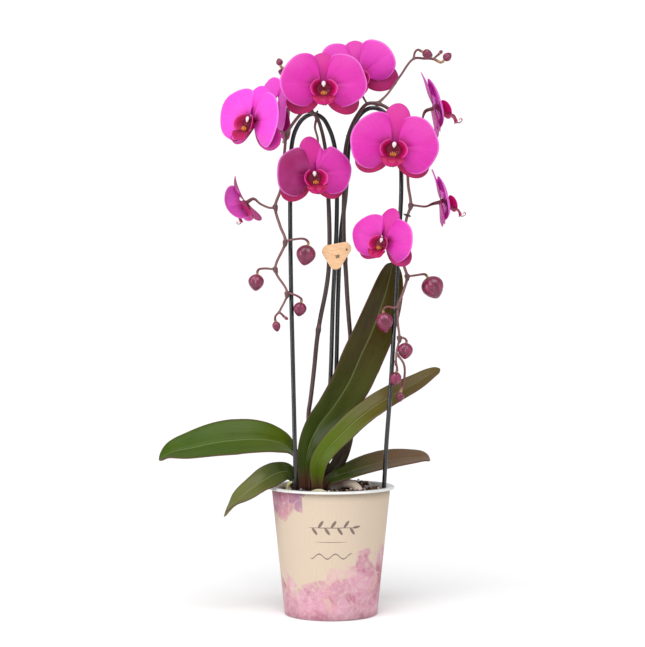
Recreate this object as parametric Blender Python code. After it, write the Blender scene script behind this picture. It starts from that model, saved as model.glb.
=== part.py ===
"""Potted moth orchid with two arched flower spikes on bent support hoops.

Metres, +Z up. The origin is the centre of the pot's foot, and the front of the plant looks along -Y.
Plant heights are given in millimetres above the top of the bark, so the plant follows the pot.
"""

import math
from collections import namedtuple

import bmesh
import bpy
from mathutils import Matrix, Vector

MM = 0.001

# Pot and sleeve
POT_HEIGHT = 127.5 * MM
SLEEVE_TOP_RADIUS = 59.3 * MM
SLEEVE_FOOT_RADIUS = 46.2 * MM
SLEEVE_WALL = 0.7 * MM
SLEEVE_LIFT = 0.8 * MM
POT_WALL = 1.2 * MM
POT_FLOOR = 1.8 * MM
FLANGE_OVERHANG = 4.2 * MM
FLANGE_SKIRT = 2.4 * MM
DRAIN_HOLES = 6
DRAIN_RADIUS = 4.0 * MM
DRAIN_RING_RADIUS = 30.0 * MM

# Fits and facets: a hole cut for a faceted rod is widened so that its flats clear the rod's corners
FIT_GAP = 0.3 * MM
ROUND_SEGMENTS = 40
ROD_SIDES = 6
FLAT_CLEAR = 1 / math.cos(math.pi / ROD_SIDES)

# Bark bed
BARK_DROP = 5.5 * MM
BARK_LUMP = 1.1 * MM

# Support hoops: the right hoop's outer leg follows the pot's wall, at an inset from the bark's edge
ROD_RADIUS = 2.2 * MM
ROD_DEPTH = 35.0 * MM
WALL_LEG_INSET = 3.2 * MM
WALL_LEG_ANGLE = math.radians(-13)

# Plant
CROWN_RADIUS = 8.0 * MM
CROWN_CENTRE = (-17.0, -4.0)
CROWN_TOP = 13.0 * MM
CROWN_DEPTH = 10.0 * MM
STEM_RADIUS = 2.3 * MM
RACHIS_RADIUS = 1.5 * MM
PEDICEL_RADIUS = 1.15 * MM
LEAF_THICKNESS = 2.2 * MM
TEPAL_THICKNESS = 1.0 * MM
HUB_RADIUS = 4.2 * MM
COLUMN_REACH = 8.0 * MM
LIP_CLEARANCE = 1.2 * MM

# Clips and tag
CLIP_WIRE = 0.9 * MM
CLIP_OPENING = math.radians(70)
TAG_THICKNESS = 1.6 * MM
TAG_CORNERS = ((-2.5, 239.0), (13.5, 242.0), (4.5, 227.5))
TAG_CORNER_RADIUS = 6.5
TAG_CORNER_STEPS = 6

Finish = namedtuple("Finish", "colour roughness metallic")
FINISHES = {
    "pot_plastic": Finish((0.86, 0.86, 0.84), 0.45, 0.0),
    "kraft_sleeve": Finish((0.72, 0.56, 0.42), 0.75, 0.0),
    "bark": Finish((0.13, 0.07, 0.04), 0.9, 0.0),
    "black_rod": Finish((0.012, 0.012, 0.014), 0.28, 0.0),
    "stem": Finish((0.09, 0.03, 0.03), 0.5, 0.0),
    "leaf": Finish((0.06, 0.14, 0.03), 0.35, 0.0),
    "root": Finish((0.62, 0.60, 0.48), 0.7, 0.0),
    "petal": Finish((0.78, 0.07, 0.55), 0.55, 0.0),
    "lip": Finish((0.62, 0.02, 0.12), 0.45, 0.0),
    "bud": Finish((0.33, 0.04, 0.13), 0.45, 0.0),
    "tag_wood": Finish((0.80, 0.56, 0.38), 0.6, 0.0),
}

# A flower's place, its turn to the right and tilt up from facing front, its roll, and its width across the
# petals; then what differs from bloom to bloom: the lift of the petals' lower edges, their forward sweep,
# the side sepals' angle, the top sepal's length as a share of the width, and how much further the petals
# reach above and below than the common outline.
Flower = namedtuple(
    "Flower", "place turn tilt roll span lift sweep lateral dorsal crown chin",
    defaults=(0, 14, -33, 0.46, 0.0, 0.0))
FLOWERS = {
    "left_upper": Flower((-75.5, -27, 366.5), -45, 2, -12, 88, lateral=-27, dorsal=0.40),
    "top_front": Flower((-8, -38, 399.5), 4, 0, 0, 86, dorsal=0.38, crown=0.08, chin=-0.1),
    "left_back": Flower((-53, 33, 387), -66, 4, -20, 84),
    "top_back": Flower((26, 5, 415), -5, 0, 5, 88, lift=50, lateral=-6, dorsal=0.42, crown=0.12),
    "left_middle": Flower((-18.5, -31, 313.5), 16, -3, 5, 78, dorsal=0.48, crown=0.03),
    "right_middle": Flower((61.5, -36, 340.5), -2, 0, -7, 88, dorsal=0.49, crown=0.06, chin=0.05),
    "right_lower": Flower((53, -34, 248), -34, 2, -12, 72, lateral=-27, chin=-0.06),
    "right_side_upper": Flower((105, 16, 385), 89, 16, 0, 84, sweep=6),
    "right_side_lower": Flower((111.5, 3, 289.5), 89, 12, 0, 74, sweep=6),
    "left_side": Flower((-85, -11, 287), -98, -28, 0, 62, sweep=30),
}

# A bud's middle, its length and width, and where its tip points
Bud = namedtuple("Bud", "place length width tip")
BUDS = {
    "left_first": Bud((-25, -17, 235), 21, 18, (-0.2, 0, -1)),
    "left_second": Bud((-74, -15, 208), 17, 15, (-0.1, 0, -1)),
    "left_third": Bud((-31, -18, 181.5), 14.5, 13, (-0.2, 0, -1)),
    "left_fourth": Bud((-54, -17, 164.5), 10.5, 8.5, (0.2, 0, -1)),
    "left_tip": Bud((-44.2, -16, 172.6), 4.2, 3.6, (0.8, 0, -0.6)),
    "right_first": Bud((101, -9, 203), 23.5, 22.5, (0.5, 0, -1)),
    "right_second": Bud((52.4, -26, 168.5), 20.5, 16, (0.1, 0, -1)),
    "right_third": Bud((73, -28, 140.5), 16.5, 14, (-0.1, 0, -1)),
    "right_fourth": Bud((62.5, -39, 113.5), 14, 11, (-0.2, 0, -1)),
    "right_fifth": Bud((67.8, -31, 95.5), 10, 7.5, (-0.1, 0, -1)),
    "top_right_first": Bud((96.5, -1.2, 436.8), 11, 9.5, (0.9, 0, -0.4)),
    "top_right_second": Bud((117, 6, 435.2), 10, 9, (0.7, 0, 0.7)),
    "top_right_tip": Bud((110.4, 6, 440), 4.5, 3.8, (0.7, 0, 0.7)),
    "top_left_lower": Bud((-48.5, -11, 417), 8.5, 7.5, (-0.9, 0, 0.3)),
    "top_left_upper": Bud((-51, -19, 426), 7.5, 6.5, (-0.3, 0, 1)),
}

# A leaf's midrib from base to tip; how its blade lies across at the base, the middle and the tip; its half
# widths at base and middle; how far the midrib sinks, less than 0 where the blade lies the other way up; and
# how slowly it widens from its base.
Leaf = namedtuple("Leaf", "midrib across base_half middle_half fold slow", defaults=(0.85,))
LEAVES = {
    "left": Leaf(
        ((-29, 1, 3), (-31, 1, 18), (-34.5, -1, 34), (-43, -6, 46), (-58, -12, 52), (-74, -16, 54),
         (-93, -19, 53.5), (-112, -22, 51.5), (-138, -26, 46), (-159, -28, 41), (-169, -29, 33)),
        ((0.1, 1, 0), (0, 0.78, 0.68), (0.1, 0.8, 0.6)), 5.5, 24.5, 3.0, 1.5),
    "tall": Leaf(
        ((-25.5, -12.5, 3), (-26, -13.5, 22), (-22.5, -11.5, 44), (-13, -7, 64), (3, -3, 84), (18, -2, 107),
         (31, -3, 136), (42, -1, 160), (53, 3, 190), (59.5, 7, 214), (62.5, 10, 229)),
        ((0.9, -0.4, 0), (0.95, 0.3, -0.2), (0.9, 0.4, 0)), 5.5, 22.0, 4.0, 1.25),
    "right": Leaf(
        ((-13, -16, 3), (-13.5, -19, 16), (-11, -23, 32), (0, -25, 48), (12, -23, 60), (26, -19, 73),
         (47, -12, 88), (65, -5, 98), (85, 3, 108), (100, 9, 117), (110, 12, 122)),
        ((-0.95, 0.2, 0.1), (-0.6, 0.35, 0.7), (-0.35, 0.75, 0.5)), 5.5, 12.0, -3.0, 0.6),
    "lower_right": Leaf(
        ((-6, -11, 3), (-3, -11, 10), (8, -8, 16), (25, 2, 22), (44, 11, 27), (64, 17, 30.5),
         (82, 21, 32), (95, 23, 32), (101, 24, 29)),
        ((-0.6, 0.4, 0.6), (-0.3, 0.75, 0.55), (-0.1, 0.9, 0.4)), 4.0, 15.0, -3.0, 1.0),
    "lower_left": Leaf(
        ((-34, -11, 3), (-37.5, -13, 14), (-43, -17, 21), (-54, -24, 20), (-66, -32, 14), (-79, -38, 5),
         (-92, -43, -5), (-100, -46, -14), (-104, -48, -20)),
        ((0.5, 0.8, 0), (0.45, 0.6, 0.7), (0.45, 0.6, 0.65)), 4.5, 13.0, 2.5, 0.8),
}
LEAF_WIDEST = 0.56

# Aerial roots over the bark: radius and route
ROOTS = {
    "right": (4.0, ((2, 25, -5), (7, 22, 3), (15, 18, 5), (23, 14, 2), (30, 12, -5))),
    "left": (3.0, ((-52, 4, -5), (-50, 0, 3), (-45, -5, 5.5), (-42, -12, 3), (-40, -17, -5))),
    "front": (2.4, ((-24, -30, -5), (-19, -32, 1), (-12, -34, 3), (-5, -35, 1), (0, -35, -5))),
    "thin": (1.4, ((-46, -24, -5), (-43, -26, 3), (-42, -28, 9), (-39, -31, 12))),
}

# Hoop routes above the bark, from the outer leg over the arch to the inner leg
LEFT_HOOP = (
    (-35.6, -29, 45), (-36.6, -27, 85), (-38.4, -19, 154), (-39.8, -12, 210), (-40.6, -8, 270),
    (-40.5, -5, 316), (-39.2, -4, 345),
    (-35.4, -3, 360.5), (-28, -2, 372), (-18, -1, 377), (-8.5, 0, 373), (-1.3, 0, 361), (3.3, 0, 346),
    (5.5, 0, 326), (6, 0, 301), (5.4, 1, 260), (3.5, 2, 220), (2, 3, 190), (0, 5, 124), (-2, 6, 80))
LEFT_HOOP_FEET = ((-34.5, -24.1), (-4, 8))
RIGHT_HOOP = (
    (54.7, -23, 52), (56.4, -29.5, 78), (57.6, -31, 95), (59.2, -30, 118), (61, -25, 146),
    (63.5, -16, 185), (66, -11, 225),
    (68, -8, 260), (70, -5, 300), (69.2, -3, 335), (64.9, -2, 359), (58, -1, 373.5), (49, 0, 381.5),
    (40, 0, 383), (32, 0, 379), (25, 1, 370), (20, 2, 356), (17.5, 3, 341), (16.3, 4, 320), (14.6, 5, 294),
    (11.5, 6, 271), (9.5, 7, 251), (8, 7.5, 220), (7, 8, 190), (5.5, 10, 124), (4.5, 11.5, 91))
RIGHT_HOOP_INNER_FOOT = (3, 14)

# Flower spikes: the main route, then side branches as (route, end), where the end names a flower or bud
LEFT_SPIKE = (
    (-20, 8, 3), (-22, 9.5, 50), (-22.5, 8, 77), (-20.5, 5, 91), (-17, 1, 121), (-14, -2, 151),
    (-11, -4, 171),
    (-5, -6, 201), (-2.5, -7, 220), (-1.5, -7, 250), (-2, -7, 276), (-3, -7, 300), (-4, -7, 325),
    (-6, -7, 343), (-9.5, -8, 360), (-14, -10, 372), (-20, -11, 378), (-27, -12, 377.5),
    (-35.8, -13, 368.5),
    (-43.7, -14, 355), (-46, -15, 339), (-47.5, -15, 320), (-50, -15, 300), (-55.3, -15, 283),
    (-50.5, -15, 264), (-45.3, -16, 249), (-55.3, -16, 221), (-43.6, -17, 198), (-51.4, -17, 178.6))
LEFT_BRANCHES = (
    (((-43.7, -14, 355), (-50, -13, 358), (-62, -14, 363)), "left_upper"),
    (((-20, -11, 378), (-15, -16, 387), (-11, -24, 396)), "top_front"),
    (((-43.7, -14, 355), (-46, -4, 351), (-48, 12, 350), (-48, 30, 354), (-46, 44, 366),
     (-44, 47, 379)), "left_back"),
    (((-14, -10, 372), (-16, -16, 362), (-13, -20, 348), (-16, -20, 330)), "left_middle"),
    (((-55.3, -15, 283), (-60, -14, 282), (-70, -14, 286)), "left_side"),
    (((-45.3, -16, 249), (-35, -17, 251), (-26, -17, 251)), "left_first"),
    (((-55.3, -16, 221), (-65, -15, 222), (-72, -15, 221)), "left_second"),
    (((-43.6, -17, 198), (-35, -18, 195.5), (-29.5, -18, 192)), "left_third"),
    (((-51.4, -17, 178.6), (-55, -17, 175)), "left_fourth"),
    (((-51.4, -17, 178.6), (-48, -16.5, 176)), "left_tip"),
    (((-20, -11, 378), (-27, -15, 390), (-37, -17, 404), (-43, -19, 414),
     (-48, -19, 420.5)), "top_left_upper"),
    (((-37, -17, 404), (-41, -13, 413)), "top_left_lower"),
)
RIGHT_SPIKE = (
    (-8.5, 5, 3), (-3.5, -1, 14), (7, 1, 28), (17, 9, 50), (24, 13, 75), (26, 12, 100), (24, 9, 126),
    (20, 5, 151),
    (16.5, 0, 191), (14.8, -2, 220), (13, -3, 246), (12.5, -4, 271), (13, -4.5, 294), (13.5, -4.5, 321),
    (14.5, -5, 341), (19, -6, 360), (27, -7, 376), (36, -8, 386), (46, -9, 386), (57, -10, 381),
    (67, -11, 369), (73, -12, 352), (75.5, -13, 330), (76.5, -13, 305), (79, -13, 285), (75, -13, 272),
    (72, -13, 250), (72.3, -14, 225), (75.3, -15, 214), (71.6, -19, 200), (66.5, -23, 186),
    (65.4, -26, 170.5),
    (67, -28, 153), (64.3, -30, 140), (63.2, -31, 127))
RIGHT_BRANCHES = (
    (((46, -9, 386), (56, -5, 396), (68.5, 0, 414), (83, 4, 433), (93, 6, 433.5), (103, 6, 433),
     (110, 6, 429.5)),
     "top_right_second"),
    (((83, 4, 433), (84, 2, 439), (87, 0, 441.5)), "top_right_first"),
    (((103, 6, 433), (106, 6, 436)), "top_right_tip"),
    (((36, -8, 386), (38, 2, 387), (36, 14, 390), (31, 18, 400)), "top_back"),
    (((73, -12, 352), (70, -18, 350)), "right_middle"),
    (((72, -12, 357), (81, -8, 362), (90, 0, 370)), "right_side_upper"),
    (((79, -13, 285), (85, -11, 284.5), (94, -6, 284)), "right_side_lower"),
    (((72, -13, 262), (70, -20, 262), (62, -24, 258)), "right_lower"),
    (((75.3, -15, 214), (85, -12, 215.5), (93, -10, 216.5)), "right_first"),
    (((65.5, -25, 184), (61, -27, 183), (55, -26, 184)), "right_second"),
    (((67, -28, 153), (70.5, -28, 153.5)), "right_third"),
    (((63.2, -32, 130), (64, -36.5, 126)), "right_fourth"),
    (((64.3, -30, 138), (71.5, -30, 127), (71.5, -30, 112)), "right_fifth"),
)

# A petal's reach at angles measured up from its own side, as a share of the longest reach
PETAL_OUTLINE = (
    (-68, 0.46), (-52, 0.72), (-36, 0.86), (-18, 0.94), (4, 1.0), (28, 0.96), (46, 0.90), (64, 0.83),
    (76, 0.74), (86, 0.52))
PETAL_CLAW = 3.2 * MM


def clear_scene():
    for found in list(bpy.data.objects):
        bpy.data.objects.remove(found, do_unlink=True)


def sleeve_radius(height):
    """Outer radius of the sleeve, and the cone that everything in the pot is stepped in from."""
    taper = (SLEEVE_TOP_RADIUS - SLEEVE_FOOT_RADIUS) / (POT_HEIGHT - FLANGE_SKIRT)
    return SLEEVE_FOOT_RADIUS + taper * height


def pot_outer_radius(height):
    return sleeve_radius(height) - SLEEVE_WALL - FIT_GAP


def pot_inner_radius(height):
    return pot_outer_radius(height) - POT_WALL


def bark_radius(height):
    return pot_inner_radius(height) - FIT_GAP


BARK_TOP = POT_HEIGHT - BARK_DROP


def above_bark(x, y, z):
    """A point given in millimetres, with its height from the top of the bark."""
    return Vector((x * MM, y * MM, BARK_TOP + z * MM))


def new_object(name, mesh, slot):
    made = bpy.data.objects.new(name, mesh)
    bpy.context.scene.collection.objects.link(made)
    finish = FINISHES[slot]
    material = bpy.data.materials.get(slot) or bpy.data.materials.new(slot)
    material.use_nodes = True
    shader = material.node_tree.nodes["Principled BSDF"]
    shader.inputs["Base Color"].default_value = (*finish.colour, 1)
    shader.inputs["Roughness"].default_value = finish.roughness
    shader.inputs["Metallic"].default_value = finish.metallic
    mesh.materials.clear()
    mesh.materials.append(material)
    mesh.shade_smooth()
    mesh.set_sharp_from_angle(angle=math.radians(40))
    return made


def mesh_from(name, points, faces):
    """A mesh from points and faces, with its faces turned to point out."""
    mesh = bpy.data.meshes.new(name)
    mesh.from_pydata(points, [], faces)
    work = bmesh.new()
    work.from_mesh(mesh)
    bmesh.ops.recalc_face_normals(work, faces=work.faces)
    work.to_mesh(mesh)
    work.free()
    return mesh


def combined(name, slot, pieces, operation="UNION"):
    """One object from the first piece and the others, by an exact Boolean; the pieces are used up."""
    body = pieces[0]
    helpers = bpy.data.collections.new(name + "_pieces")
    for piece in pieces[1:]:
        bpy.context.scene.collection.objects.unlink(piece)
        helpers.objects.link(piece)
    boolean = body.modifiers.new("join", "BOOLEAN")
    boolean.operation = operation
    boolean.solver = "EXACT"
    boolean.operand_type = "COLLECTION"
    boolean.collection = helpers
    evaluated = body.evaluated_get(bpy.context.evaluated_depsgraph_get())
    mesh = bpy.data.meshes.new_from_object(evaluated)
    for piece in pieces:
        bpy.data.objects.remove(piece, do_unlink=True)
    bpy.data.collections.remove(helpers)
    return new_object(name, mesh, slot)


def turned(name, slot, profile, segments, centre=(0, 0)):
    """A solid of revolution about a vertical axis, from a profile of (radius, height)."""
    points = []
    rings = []
    for radius, height in profile:
        if radius == 0:
            points.append((centre[0], centre[1], height))
            rings.append([len(points) - 1] * segments)
            continue
        rings.append(list(range(len(points), len(points) + segments)))
        for index in range(segments):
            angle = 2 * math.pi * index / segments
            x, y = centre[0] + radius * math.cos(angle), centre[1] + radius * math.sin(angle)
            points.append((x, y, height))
    closed = profile[0][0] != 0
    faces = []
    for ring, above in zip(rings, rings[1:] + rings[:1] if closed else rings[1:]):
        for index in range(segments):
            after = (index + 1) % segments
            corners = (ring[index], ring[after], above[after], above[index])
            faces.append(tuple(dict.fromkeys(corners)))
    return new_object(name, mesh_from(name, points, faces), slot)


def blend_at(start, end, start_knot, end_knot, at):
    return start + (end - start) * ((at - start_knot) / (end_knot - start_knot))


def smooth_route(points, spacing):
    """Points well under a spacing apart on a centripetal Catmull-Rom curve through the given points."""
    ends = [points[0] * 2 - points[1]] + list(points) + [points[-1] * 2 - points[-2]]
    dense = []
    for corners in zip(ends, ends[1:], ends[2:], ends[3:]):
        knots = [0.0]
        for start, end in zip(corners, corners[1:]):
            knots.append(knots[-1] + math.sqrt((end - start).length))
        steps = max(2, math.ceil((corners[2] - corners[1]).length / spacing * 4))
        for step in range(steps):
            at = knots[1] + (knots[2] - knots[1]) * step / steps
            level = list(corners)
            for reach in (1, 2):
                level = [blend_at(level[i], level[i + 1], knots[i], knots[i + reach], at)
                         for i in range(len(level) - 1)]
            dense.append(blend_at(level[0], level[1], knots[1], knots[2], at))
    dense.append(points[-1])
    return dense


def resampled(dense, spacing):
    """The same route with points at an even spacing."""
    lengths = [0.0]
    for start, end in zip(dense, dense[1:]):
        lengths.append(lengths[-1] + (end - start).length)
    count = max(2, round(lengths[-1] / spacing))
    route = []
    segment = 0
    for index in range(count + 1):
        target = lengths[-1] * index / count
        while segment < len(dense) - 2 and lengths[segment + 1] < target:
            segment += 1
        share = (target - lengths[segment]) / max(lengths[segment + 1] - lengths[segment], 1e-9)
        route.append(dense[segment].lerp(dense[segment + 1], min(max(share, 0.0), 1.0)))
    return route


def curve_through(points, spacing):
    return resampled(smooth_route([Vector(point) for point in points], spacing), spacing)


def tube(name, slot, route, radius, sides):
    """A round tube along a route, with flat ends; the radius is a number or one value for each point."""
    radii = radius if isinstance(radius, list) else [radius] * len(route)
    tangents = []
    for index in range(len(route)):
        start, end = route[max(index - 1, 0)], route[min(index + 1, len(route) - 1)]
        tangents.append((end - start).normalized())
    side = tangents[0].orthogonal().normalized()
    points = []
    for centre, tangent, ring_radius in zip(route, tangents, radii):
        side = (side - tangent * side.dot(tangent)).normalized()
        other = tangent.cross(side)
        for index in range(sides):
            angle = 2 * math.pi * index / sides
            points.append(centre + (side * math.cos(angle) + other * math.sin(angle)) * ring_radius)
    faces = [tuple(range(sides)), tuple(range(len(points) - sides, len(points)))]
    for ring in range(len(route) - 1):
        for index in range(sides):
            after = (index + 1) % sides
            low, high = ring * sides, (ring + 1) * sides
            faces.append((low + index, low + after, high + after, high + index))
    return new_object(name, mesh_from(name, points, faces), slot)


def sheet(name, slot, grid, thickness):
    """A closed sheet of the given thickness about a grid of points."""
    rows, columns = len(grid), len(grid[0])
    front, back = [], []
    for row in range(rows):
        for column in range(columns):
            along = grid[min(row + 1, rows - 1)][column] - grid[max(row - 1, 0)][column]
            across = grid[row][min(column + 1, columns - 1)] - grid[row][max(column - 1, 0)]
            normal = along.cross(across).normalized()
            front.append(grid[row][column] + normal * thickness / 2)
            back.append(grid[row][column] - normal * thickness / 2)
    count = rows * columns
    faces = []
    for row in range(rows - 1):
        for column in range(columns - 1):
            corner = row * columns + column
            quad = (corner, corner + 1, corner + columns + 1, corner + columns)
            faces += [quad, tuple(index + count for index in quad)]
    border = [column for column in range(columns)]
    border += [row * columns + columns - 1 for row in range(1, rows)]
    border += [(rows - 1) * columns + column for column in range(columns - 2, -1, -1)]
    border += [row * columns for row in range(rows - 2, 0, -1)]
    for start, end in zip(border, border[1:] + border[:1]):
        faces.append((start, end, end + count, start + count))
    return new_object(name, mesh_from(name, front + back, faces), slot)


def ball(name, slot, centre, radii, rings=6, segments=8, turn=None):
    """An ellipsoid of rings from pole to pole along its own Z."""
    matrix = Matrix.Translation(centre) @ (turn or Matrix.Identity(3)).to_4x4() @ Matrix.Diagonal((*radii, 1))
    mesh = bpy.data.meshes.new(name)
    work = bmesh.new()
    bmesh.ops.create_uvsphere(work, u_segments=segments, v_segments=rings, radius=1, matrix=matrix)
    work.to_mesh(mesh)
    work.free()
    return new_object(name, mesh, slot)


def make_pot():
    top = POT_HEIGHT
    flange_radius = SLEEVE_TOP_RADIUS + FLANGE_OVERHANG
    foot = pot_outer_radius(0)
    profile = [
        (0, 0), (foot - POT_WALL, 0), (foot, POT_WALL), (pot_outer_radius(top - POT_WALL), top - POT_WALL),
        (flange_radius - POT_WALL, top - POT_WALL), (flange_radius - POT_WALL, top - FLANGE_SKIRT),
        (flange_radius, top - FLANGE_SKIRT), (flange_radius, top - POT_WALL / 2),
        (flange_radius - POT_WALL / 2, top), (pot_inner_radius(top), top),
        (pot_inner_radius(POT_FLOOR), POT_FLOOR), (0, POT_FLOOR)]
    pieces = [turned("pot_shell", "pot_plastic", profile, ROUND_SEGMENTS)]
    for index in range(DRAIN_HOLES):
        angle = 2 * math.pi * index / DRAIN_HOLES
        centre = (DRAIN_RING_RADIUS * math.cos(angle), DRAIN_RING_RADIUS * math.sin(angle))
        low, high = -POT_FLOOR, 2 * POT_FLOOR
        drill = [(0, low), (DRAIN_RADIUS, low), (DRAIN_RADIUS, high), (0, high)]
        pieces.append(turned("drill", "pot_plastic", drill, 12, centre))
    return combined("grow_pot", "pot_plastic", pieces, "DIFFERENCE")


def make_sleeve():
    low, high = SLEEVE_LIFT, POT_HEIGHT - FLANGE_SKIRT
    profile = [
        (sleeve_radius(low) - SLEEVE_WALL, low), (sleeve_radius(low), low),
        (sleeve_radius(high), high), (sleeve_radius(high) - SLEEVE_WALL, high)]
    return turned("pot_sleeve", "kraft_sleeve", profile, ROUND_SEGMENTS)


def bark_height(x, y):
    """The lumpy top of the bark, as waves that cross each other."""
    wave = math.sin(x / (7 * MM)) * math.cos(y / (6 * MM)) + math.sin((x + y) / (4.3 * MM)) * 0.5
    return BARK_TOP + BARK_LUMP * wave / 1.5


def make_bark_bed():
    segments, rings = ROUND_SEGMENTS, 5
    low = POT_FLOOR + FIT_GAP
    edge = bark_radius(BARK_TOP - 2 * BARK_LUMP)
    points = [Vector((0, 0, low)), Vector((0, 0, bark_height(0, 0)))]
    faces = []

    def ring(radius, height):
        start = len(points)
        for index in range(segments):
            angle = 2 * math.pi * index / segments
            x, y = radius * math.cos(angle), radius * math.sin(angle)
            points.append(Vector((x, y, bark_height(x, y) if height is None else height)))
        return start

    loops = [ring(bark_radius(low), low), ring(edge, BARK_TOP - 2 * BARK_LUMP)]
    loops += [ring(edge * share / rings, None) for share in range(rings - 1, 0, -1)]
    for first, second in zip(loops, loops[1:]):
        for index in range(segments):
            after = (index + 1) % segments
            faces.append((first + index, first + after, second + after, second + index))
    for index in range(segments):
        after = (index + 1) % segments
        faces.append((0, loops[0] + after, loops[0] + index))
        faces.append((1, loops[-1] + index, loops[-1] + after))
    return new_object("bark_bed", mesh_from("bark_bed", points, faces), "bark")


def wall_leg_point(depth):
    """Where the leg by the pot's wall stands at a depth below the bark's top, following the pot's taper."""
    height = BARK_TOP - depth
    radius = bark_radius(height) - WALL_LEG_INSET
    return Vector((radius * math.cos(WALL_LEG_ANGLE), radius * math.sin(WALL_LEG_ANGLE), height))


def upright_leg(foot):
    """A leg's end and its point at the bark's top."""
    return [above_bark(*foot, -ROD_DEPTH / MM), above_bark(*foot, 0)]


def hoop_route(outer_leg, points, inner_leg):
    return curve_through(outer_leg + [above_bark(*point) for point in points] + inner_leg[::-1], 14 * MM)


def crown_profile(gap):
    radius = CROWN_RADIUS + gap
    low, high = BARK_TOP - CROWN_DEPTH - gap, BARK_TOP + CROWN_TOP + gap
    return [
        (0, low), (0.6 * radius, low), (radius, low + 4 * MM), (radius, high - 7 * MM),
        (0.8 * radius, high - 2.5 * MM), (0.4 * radius, high), (0, high)]


def make_crown(name, gap=0.0):
    centre = (CROWN_CENTRE[0] * MM, CROWN_CENTRE[1] * MM)
    return turned(name, "stem", crown_profile(gap), 12, centre)


def lengthened(route, extra):
    start = route[0] + (route[0] - route[1]).normalized() * extra
    end = route[-1] + (route[-1] - route[-2]).normalized() * extra
    return [start] + route + [end]


def make_roots_and_bark(hoop_routes):
    """The bark bed with a clear hole for every leg and root and a pocket for the crown."""
    bed = make_bark_bed()
    cutters = [make_crown("crown_pocket", FIT_GAP)]
    for route in hoop_routes:
        buried = [point for point in route if point.z < BARK_TOP + 15 * MM]
        half = len(buried) // 2
        for leg in (buried[:half], buried[half:]):
            hole_radius = (ROD_RADIUS + FIT_GAP) * FLAT_CLEAR
            cutters.append(tube("leg_hole", "bark", lengthened(leg, FIT_GAP), hole_radius, ROD_SIDES))
    for name, (radius, points) in ROOTS.items():
        route = curve_through([above_bark(*point) for point in points], 4 * MM)
        tube("root_" + name, "root", route, radius * MM, 6)
        hole_radius = (radius * MM + FIT_GAP) * FLAT_CLEAR
        cutters.append(tube("root_hole", "bark", lengthened(route, FIT_GAP), hole_radius, ROD_SIDES))
    return combined("potting_bark", "bark", [bed] + cutters, "DIFFERENCE")


def leaf_half_width(leaf, share):
    """Half width along the leaf: a clasping base, a long swell and a blunt pointed tip."""
    if share < LEAF_WIDEST:
        swell = math.sin(math.pi / 2 * max(share - 0.05, 0) / (LEAF_WIDEST - 0.05)) ** leaf.slow
        return leaf.base_half + (leaf.middle_half - leaf.base_half) * swell
    fall = (share - LEAF_WIDEST) / (1 - LEAF_WIDEST)
    return leaf.middle_half * math.sqrt(max(1 - fall ** 2.4, 0)) + 0.8


def leaf_across(leaf, share):
    base, middle, tip = (Vector(direction).normalized() for direction in leaf.across)
    if share < 0.35:
        return base.lerp(middle, share / 0.35)
    return middle.lerp(tip, (share - 0.35) / 0.65)


def make_leaf(name, leaf):
    route = curve_through([above_bark(*point) for point in leaf.midrib], 12 * MM)
    grid = []
    for index, centre in enumerate(route):
        share = index / (len(route) - 1)
        tangent = (route[min(index + 1, len(route) - 1)] - route[max(index - 1, 0)]).normalized()
        across = leaf_across(leaf, share)
        across = (across - tangent * across.dot(tangent)).normalized()
        normal = tangent.cross(across)
        half = leaf_half_width(leaf, share) * MM
        fold = leaf.fold * MM * min(half / (leaf.middle_half * MM), 1)
        row = []
        for step in (-1, -0.5, 0, 0.5, 1):
            row.append(centre + across * half * step + normal * fold * (abs(step) ** 1.5 - 0.4) * -1)
        grid.append(row)
    return sheet("leaf_" + name, "leaf", grid, LEAF_THICKNESS)


def facing(turn, tilt, roll):
    """Rotation from a bloom's own axes (right, up, forward) to the plant's."""
    turn, tilt, roll = math.radians(turn), math.radians(tilt), math.radians(roll)
    forward = Vector((math.sin(turn) * math.cos(tilt), -math.cos(turn) * math.cos(tilt), math.sin(tilt)))
    right = Vector((math.cos(turn), math.sin(turn), 0))
    up = forward.cross(right)
    rolled_right = right * math.cos(roll) + up * math.sin(roll)
    rolled_up = up * math.cos(roll) - right * math.sin(roll)
    return Matrix((rolled_right, rolled_up, forward)).transposed()


def petal_reach(angle):
    """Reach of a petal's outline at an angle, eased between the outline's own points."""
    for (low, low_reach), (high, high_reach) in zip(PETAL_OUTLINE, PETAL_OUTLINE[1:]):
        if angle <= high:
            share = (angle - low) / (high - low)
            return low_reach + (high_reach - low_reach) * share
    return PETAL_OUTLINE[-1][1]


def eased(share):
    share = min(max(share, 0.0), 1.0)
    return share * share * (3 - 2 * share)


def petal_grid(flower, side):
    """A petal as a fan from its claw; side is 1 for the right petal and -1 for the left."""
    rows, columns = 3, 6
    reach = flower.span * MM * 0.5 - PETAL_CLAW
    first, last = PETAL_OUTLINE[0][0], PETAL_OUTLINE[-1][0]
    sweep = math.tan(math.radians(flower.sweep))
    grid = []
    for row in range(rows + 1):
        line = []
        for column in range(columns + 1):
            angle = first + (last - first) * column / columns
            rim = petal_reach(angle)
            rim *= 1 + flower.crown * eased((angle - 10) / 50) + flower.chin * eased((-8 - angle) / 40)
            distance = reach * rim * (0.06 + 0.94 * row / rows)
            heading = math.radians(angle + flower.lift * (last - angle) / (last - first))
            x, y = PETAL_CLAW + distance * math.cos(heading), distance * math.sin(heading)
            bow = max(x, 0) * sweep * 1.25 * (max(x, 0) / reach) ** 0.6 * (1 - 0.35 * distance / reach)
            line.append(Vector((side * x, y, 1.3 * MM + bow)))
        grid.append(line)
    return grid


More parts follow.
